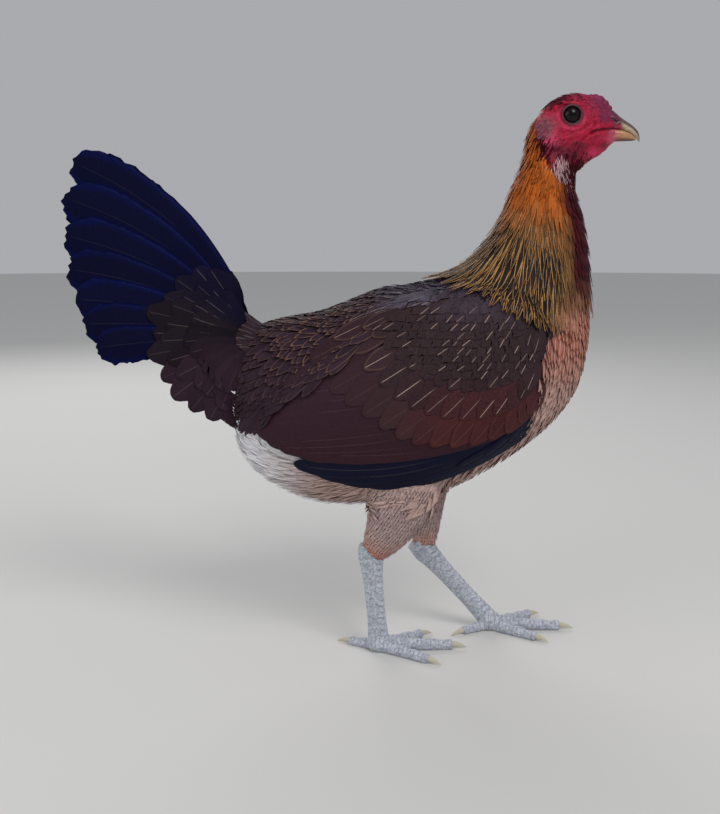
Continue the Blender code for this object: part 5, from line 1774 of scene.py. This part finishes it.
def cells(co, pitch):
    """Relief of small round scales of that size."""
    found = np.empty(len(co))
    for k, spot in enumerate(co):
        near_by = noise.voronoi(Vector(spot) / pitch)[0]
        found[k] = min(near_by[1] - near_by[0], 0.28) / 0.28
    return 0.3 * found - 0.15


def leg_relief(word, co):
    """How far the scales stand out at points of a leg."""
    hock, ankle = np.array(HOCK_AT[word]), np.array(ANKLE_AT[word])
    down = (ankle - hock) / np.linalg.norm(ankle - hock)
    front = np.array((1, 0, 0)) - down * down[0]
    front /= np.linalg.norm(front)
    away = co - hock
    run = away @ down
    round_it = away - run[:, None] * down
    reach = np.linalg.norm(round_it, axis=1)
    turn = np.degrees(np.arctan2(round_it[:, 1], round_it @ front))
    on_shank = smoothstep(12, 16, co[:, 2]) * (reach < 16)
    small = cells(co, 1.9)
    outer = ridges(run + 0.06 * np.abs(turn + 30), SHANK_SCUTE)
    inner = ridges(run + SHANK_SCUTE / 2 + 0.06 * np.abs(turn - 32), SHANK_SCUTE)
    seam = 0.35 * np.exp(-((turn - 2) / 7) ** 2)
    plates = np.where(turn < 2, outer, inner) - seam
    in_front = smoothstep(74, 62, np.abs(turn))
    behind = smoothstep(132, 146, np.abs(turn))
    rear = ridges(run + 0.03 * np.abs(np.abs(turn) - 180), SHANK_SCUTE * 0.8) * 0.7
    shank = in_front * plates + behind * rear + (1 - in_front) * (1 - behind) * small
    best = np.full(len(co), 1e9)
    toes = small.copy()
    for toe in TOES:
        start, ahead, _, thick, _ = toe_frame(word, toe)
        run = (co - np.array(start)) @ np.array(ahead)
        aside = np.abs((co - np.array(start)) @ np.array((-ahead.y, ahead.x, 0)))
        distance = aside + 30 * (run < -2)
        high = smoothstep(0.9 * thick, 1.35 * thick, co[:, 2])
        plates = ridges(run - 0.12 * aside ** 2 / thick, TOE_SCUTE) * 0.8
        mine = distance < best
        toes[mine] = (high * plates + (1 - high) * small)[mine]
        best = np.minimum(best, distance)
    return on_shank * shank + (1 - on_shank) * toes


def leg_tint(paint, co, relief):
    """Mottled slate and white scales, with dark grooves."""
    spots = np.array([noise.fractal(Vector(spot) * 0.55, 0.7, 2.1, 4) for spot in co])
    fine = np.array([noise.noise(Vector(spot) * 2.1) for spot in co])
    pale = smoothstep(-0.55, 0.45, spots + 0.5 * fine)[:, None]
    tint = blend(named(paint.scale_dark)[None], named(paint.scale_pale)[None], pale)
    return tint * (0.55 + 0.5 * smoothstep(-0.3, 0.15, relief))[:, None]


class HEN_OT_legs(bpy.types.Operator):
    """Scaly shanks, feet and claws"""
    bl_idname = "hen.legs"
    bl_label = "Legs"

    def execute(self, context):
        paint = context.scene.hen_colours
        scales = flesh_material("scaly_skin", mottle=0.35, pores=900.0, rough=0.5, bump=0.25, under=0.04)
        horn = bpy.data.materials["horn"]
        for word in ("left", "right"):
            pieces = [tube(lambda a, r: limb_at(shank_rows(word), a, r), 60, 40)]
            pieces.append(ball((ANKLE_AT[word][0] + 0.5, ANKLE_AT[word][1], 6.6), (9.5, 8.5, 8.2)))
            for toe in TOES:
                pieces.append(tube(lambda a, r: limb_at(toe_rows(word, toe), a, r), 50, 32))
            co, faces, out = fused(pieces, 0.5, 3)
            relief = leg_relief(word, co)
            co += out * (relief * smoothstep(0.4, 2.5, co[:, 2]))[:, None]
            co[:, 2] = np.maximum(co[:, 2], 0.02)
            leg = add_piece(f"leg_{word}", co, faces, scales)
            set_colours(leg, "Tint", leg_tint(paint, co, relief))
            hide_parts(f"shank_{word}", f"foot_{word}")
            for toe in TOES:
                self.claw(paint, word, toe, horn)
        return {"FINISHED"}

    def claw(self, paint, word, toe, horn):
        x, y, z = toe_rows(word, toe)[-1][:3]
        ahead = toe_frame(word, toe)[1]
        rows = []
        for t, rise, share in CLAW_ROWS:
            spot = Vector((x, y, z + rise)) + ahead * CLAW_LENGTH * t
            size = CLAW_RADIUS * share
            rows.append((*spot, size, size * 0.75))
        bm = tube(lambda a, r: limb_at(rows, a, r), 28, 20)
        bm.verts.index_update()
        co = np.array([v.co for v in bm.verts])
        co[:, 2] = np.maximum(co[:, 2], 0.05)
        faces = [tuple(v.index for v in face.verts) for face in bm.faces]
        bm.free()
        claw = add_piece(f"claw_{word}_{toe}_horn", co, faces, horn)
        run = (co - np.array((x, y, z))) @ np.array(ahead) / CLAW_LENGTH
        root = smoothstep(0.5, -0.1, run)[:, None]
        dark = named(paint.horn_dark)[None] * 1.5
        set_colours(claw, "Tint", blend(named(paint.horn_pale)[None], dark, 0.6 * root))
        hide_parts(f"claw_{word}_{toe}")


# Bristles of the face

# Where they grow: name of their colour, count, place and size of the tract, heading, length, half width.
BRISTLES = (
    ("ear", 260, (126, 17, 382), (4.5, 6, 5.5), (-0.8, 0, -0.5), 4.2, 0.2),
    ("bristle", 90, (136, 16, 352), (4.5, 6, 6.5), (-0.05, 0, -1), 5.5, 0.30),
    ("bristle", 90, (141, 15, 341), (4.0, 7, 8.0), (0.0, 0, -1), 6.0, 0.32),
    ("bristle", 90, (150, 6, 343), (4.0, 6, 7.0), (0.15, 0, -1), 5.0, 0.30),
    ("bristle", 90, (154, 6, 328), (4.0, 7, 9.0), (0.2, 0, -1), 5.5, 0.30),
    ("maroon", 700, (122, 14, 358), (6.0, 10, 11.0), (-0.45, 0, -1), 5.0, 0.34),
    ("maroon", 900, (148, 9, 343), (9.0, 10, 11.0), (0.1, 0, -1), 5.0, 0.34),
    ("dusk", 320, (130, 6, 400), (15.0, 10, 5.0), (-1, 0, -0.35), 3.2, 0.2),
    ("dusk", 160, (137, 15, 368), (14.0, 6, 12.0), (-0.5, 0, -0.8), 1.6, 0.14),
    ("dusk", 120, (158, 9, 388), (9.0, 7, 8.0), (-0.9, 0, -0.3), 1.4, 0.13),
)


class HEN_OT_bristles(bpy.types.Operator):
    """The short bristles of the crown, ears, face and throat"""
    bl_idname = "hen.bristles"
    bl_label = "Bristles"

    def execute(self, context):
        paint = context.scene.hen_colours
        tree, spots = bodies["face"], bodies["face_spots"]
        wisps = Plumage(2, 3, "wisp", thick=0.16, rounding=0.5)
        clear = np.hypot(spots[:, 0] - EYE_AT[0], spots[:, 2] - EYE_AT[2]) > 8.6
        for key, count, place, size, heading, length, half_width in BRISTLES:
            for side in (1, -1):
                odds = near(spots, np.array(place) * (1, side, 1), size) * clear
                for pick in rng.choice(len(spots), count, p=odds / odds.sum()):
                    turn = Vector(heading) + Vector(rng.normal(0, 0.16, 3))
                    run = length * rng.uniform(0.7, 1.2)
                    path = walk(tree, Vector(spots[pick]), turn.normalized(), run, wisps.stations)
                    look = (varied(named(getattr(paint, key)), 0.35), (0, 0, 0), (0, 0, 0, 0))
                    home = body_home(0.72 + 0.2 * rng.random(), 0.25 if side > 0 else 0.75)
                    wisps.add(tree, path, half_width, (-0.1, 0.5 * length ** 0.5), 0, look, home)
        material = feather_material("bristle", (0.5, 0.4, 0.4), grain=0.2, root=0.8)
        wisps.build("face_bristles", material)
        return {"FINISHED"}


class HEN_OT_stage(bpy.types.Operator):
    """A plain pale floor, soft light and the camera at the photograph's angle"""
    bl_idname = "hen.stage"
    bl_label = "Stage"

    def execute(self, context):
        floor = bpy.data.meshes.new("floor")
        bm = bmesh.new()
        bmesh.ops.create_circle(bm, cap_ends=True, segments=96, radius=9)
        bm.to_mesh(floor)
        bm.free()
        plane = bpy.data.objects.new("floor", floor)
        context.scene.collection.objects.link(plane)
        material = bpy.data.materials.new("pale_floor")
        material.use_nodes = True
        shader = material.node_tree.nodes["Principled BSDF"]
        shader.inputs["Base Color"].default_value = (0.70, 0.69, 0.67, 1)
        shader.inputs["Roughness"].default_value = 0.9
        floor.materials.append(material)
        world = bpy.data.worlds.new("studio")
        world.use_nodes = True
        back = world.node_tree.nodes["Background"]
        back.inputs[0].default_value = (0.86, 0.88, 0.92, 1)
        back.inputs[1].default_value = 0.46
        context.scene.world = world
        add_light("key", (0.8, -1.4, 1.7), 1.0, 20)
        add_light("fill", (-1.4, -1.1, 0.9), 1.4, 7.5)
        add_light("back", (-0.6, 1.5, 1.3), 1.2, 10)
        camera = bpy.data.cameras.new("camera")
        camera.lens = CAMERA_LENS
        camera.clip_start = 0.01
        eye = bpy.data.objects.new("camera", camera)
        eye.location = Vector(CAMERA_AT) * MM + Vector((SHIFT[0], SHIFT[1], 0))
        eye.rotation_euler = (math.radians(90 - CAMERA_PITCH), 0, 0)
        context.scene.collection.objects.link(eye)
        context.scene.camera = eye
        context.scene.view_settings.view_transform = "Standard"
        return {"FINISHED"}


def add_light(name, at, size, power):
    """A soft square light that looks at the hen."""
    data = bpy.data.lights.new(name, "AREA")
    data.size = size
    data.energy = power
    light = bpy.data.objects.new(name, data)
    light.location = at
    light.rotation_euler = (Vector((0, 0, 0.2)) - Vector(at)).to_track_quat("-Z", "Y").to_euler()
    bpy.context.scene.collection.objects.link(light)


class HEN_PT_panel(bpy.types.Panel):
    """Sizes, colours and pieces of the hen"""
    bl_label = "Game hen"
    bl_idname = "HEN_PT_panel"
    bl_space_type = "VIEW_3D"
    bl_region_type = "UI"
    bl_category = "Game hen"

    def draw(self, context):
        for group_name in ("hen_sizes", "hen_colours"):
            settings = getattr(context.scene, group_name)
            for key in settings.__annotations__:
                self.layout.prop(settings, key)
        for operator in OPERATORS:
            self.layout.operator(operator.bl_idname)


OPERATORS = (
    HEN_OT_skin, HEN_OT_eyes, HEN_OT_bill, HEN_OT_legs, HEN_OT_bristles, HEN_OT_hackle, HEN_OT_coat,
    HEN_OT_thighs, HEN_OT_wings, HEN_OT_tail, HEN_OT_stage,
)
CLASSES = (HenColours, HenSizes, *OPERATORS, HEN_PT_panel)


def register():
    for made in CLASSES:
        bpy.utils.register_class(made)
    bpy.types.Scene.hen_colours = PointerProperty(type=HenColours)
    bpy.types.Scene.hen_sizes = PointerProperty(type=HenSizes)


def unregister():
    del bpy.types.Scene.hen_colours
    del bpy.types.Scene.hen_sizes
    for made in reversed(CLASSES):
        bpy.utils.unregister_class(made)


def main():
    register()
    for obj in list(bpy.data.objects):
        if "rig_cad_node" not in obj and not obj.name.startswith("body:"):
            bpy.data.objects.remove(obj)
    bodies["coat"] = surface_tree(body_at, 220, 160)
    bodies["envelope"] = surface_tree(envelope_at, 220, 160)
    bodies["tail"] = surface_tree(lambda a, r: section(TAIL_BASE_ROWS, 1 - a, r), 40, 60)
    bpy.ops.hen.skin()
    bpy.ops.hen.eyes()
    bpy.ops.hen.bill()
    bpy.ops.hen.legs()
    bpy.ops.hen.bristles()
    bpy.ops.hen.hackle()
    bpy.ops.hen.coat()
    bpy.ops.hen.thighs()
    bpy.ops.hen.wings()
    bpy.ops.hen.tail()
    bpy.ops.hen.stage()
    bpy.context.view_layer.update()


if __name__ == "__main__":
    main()
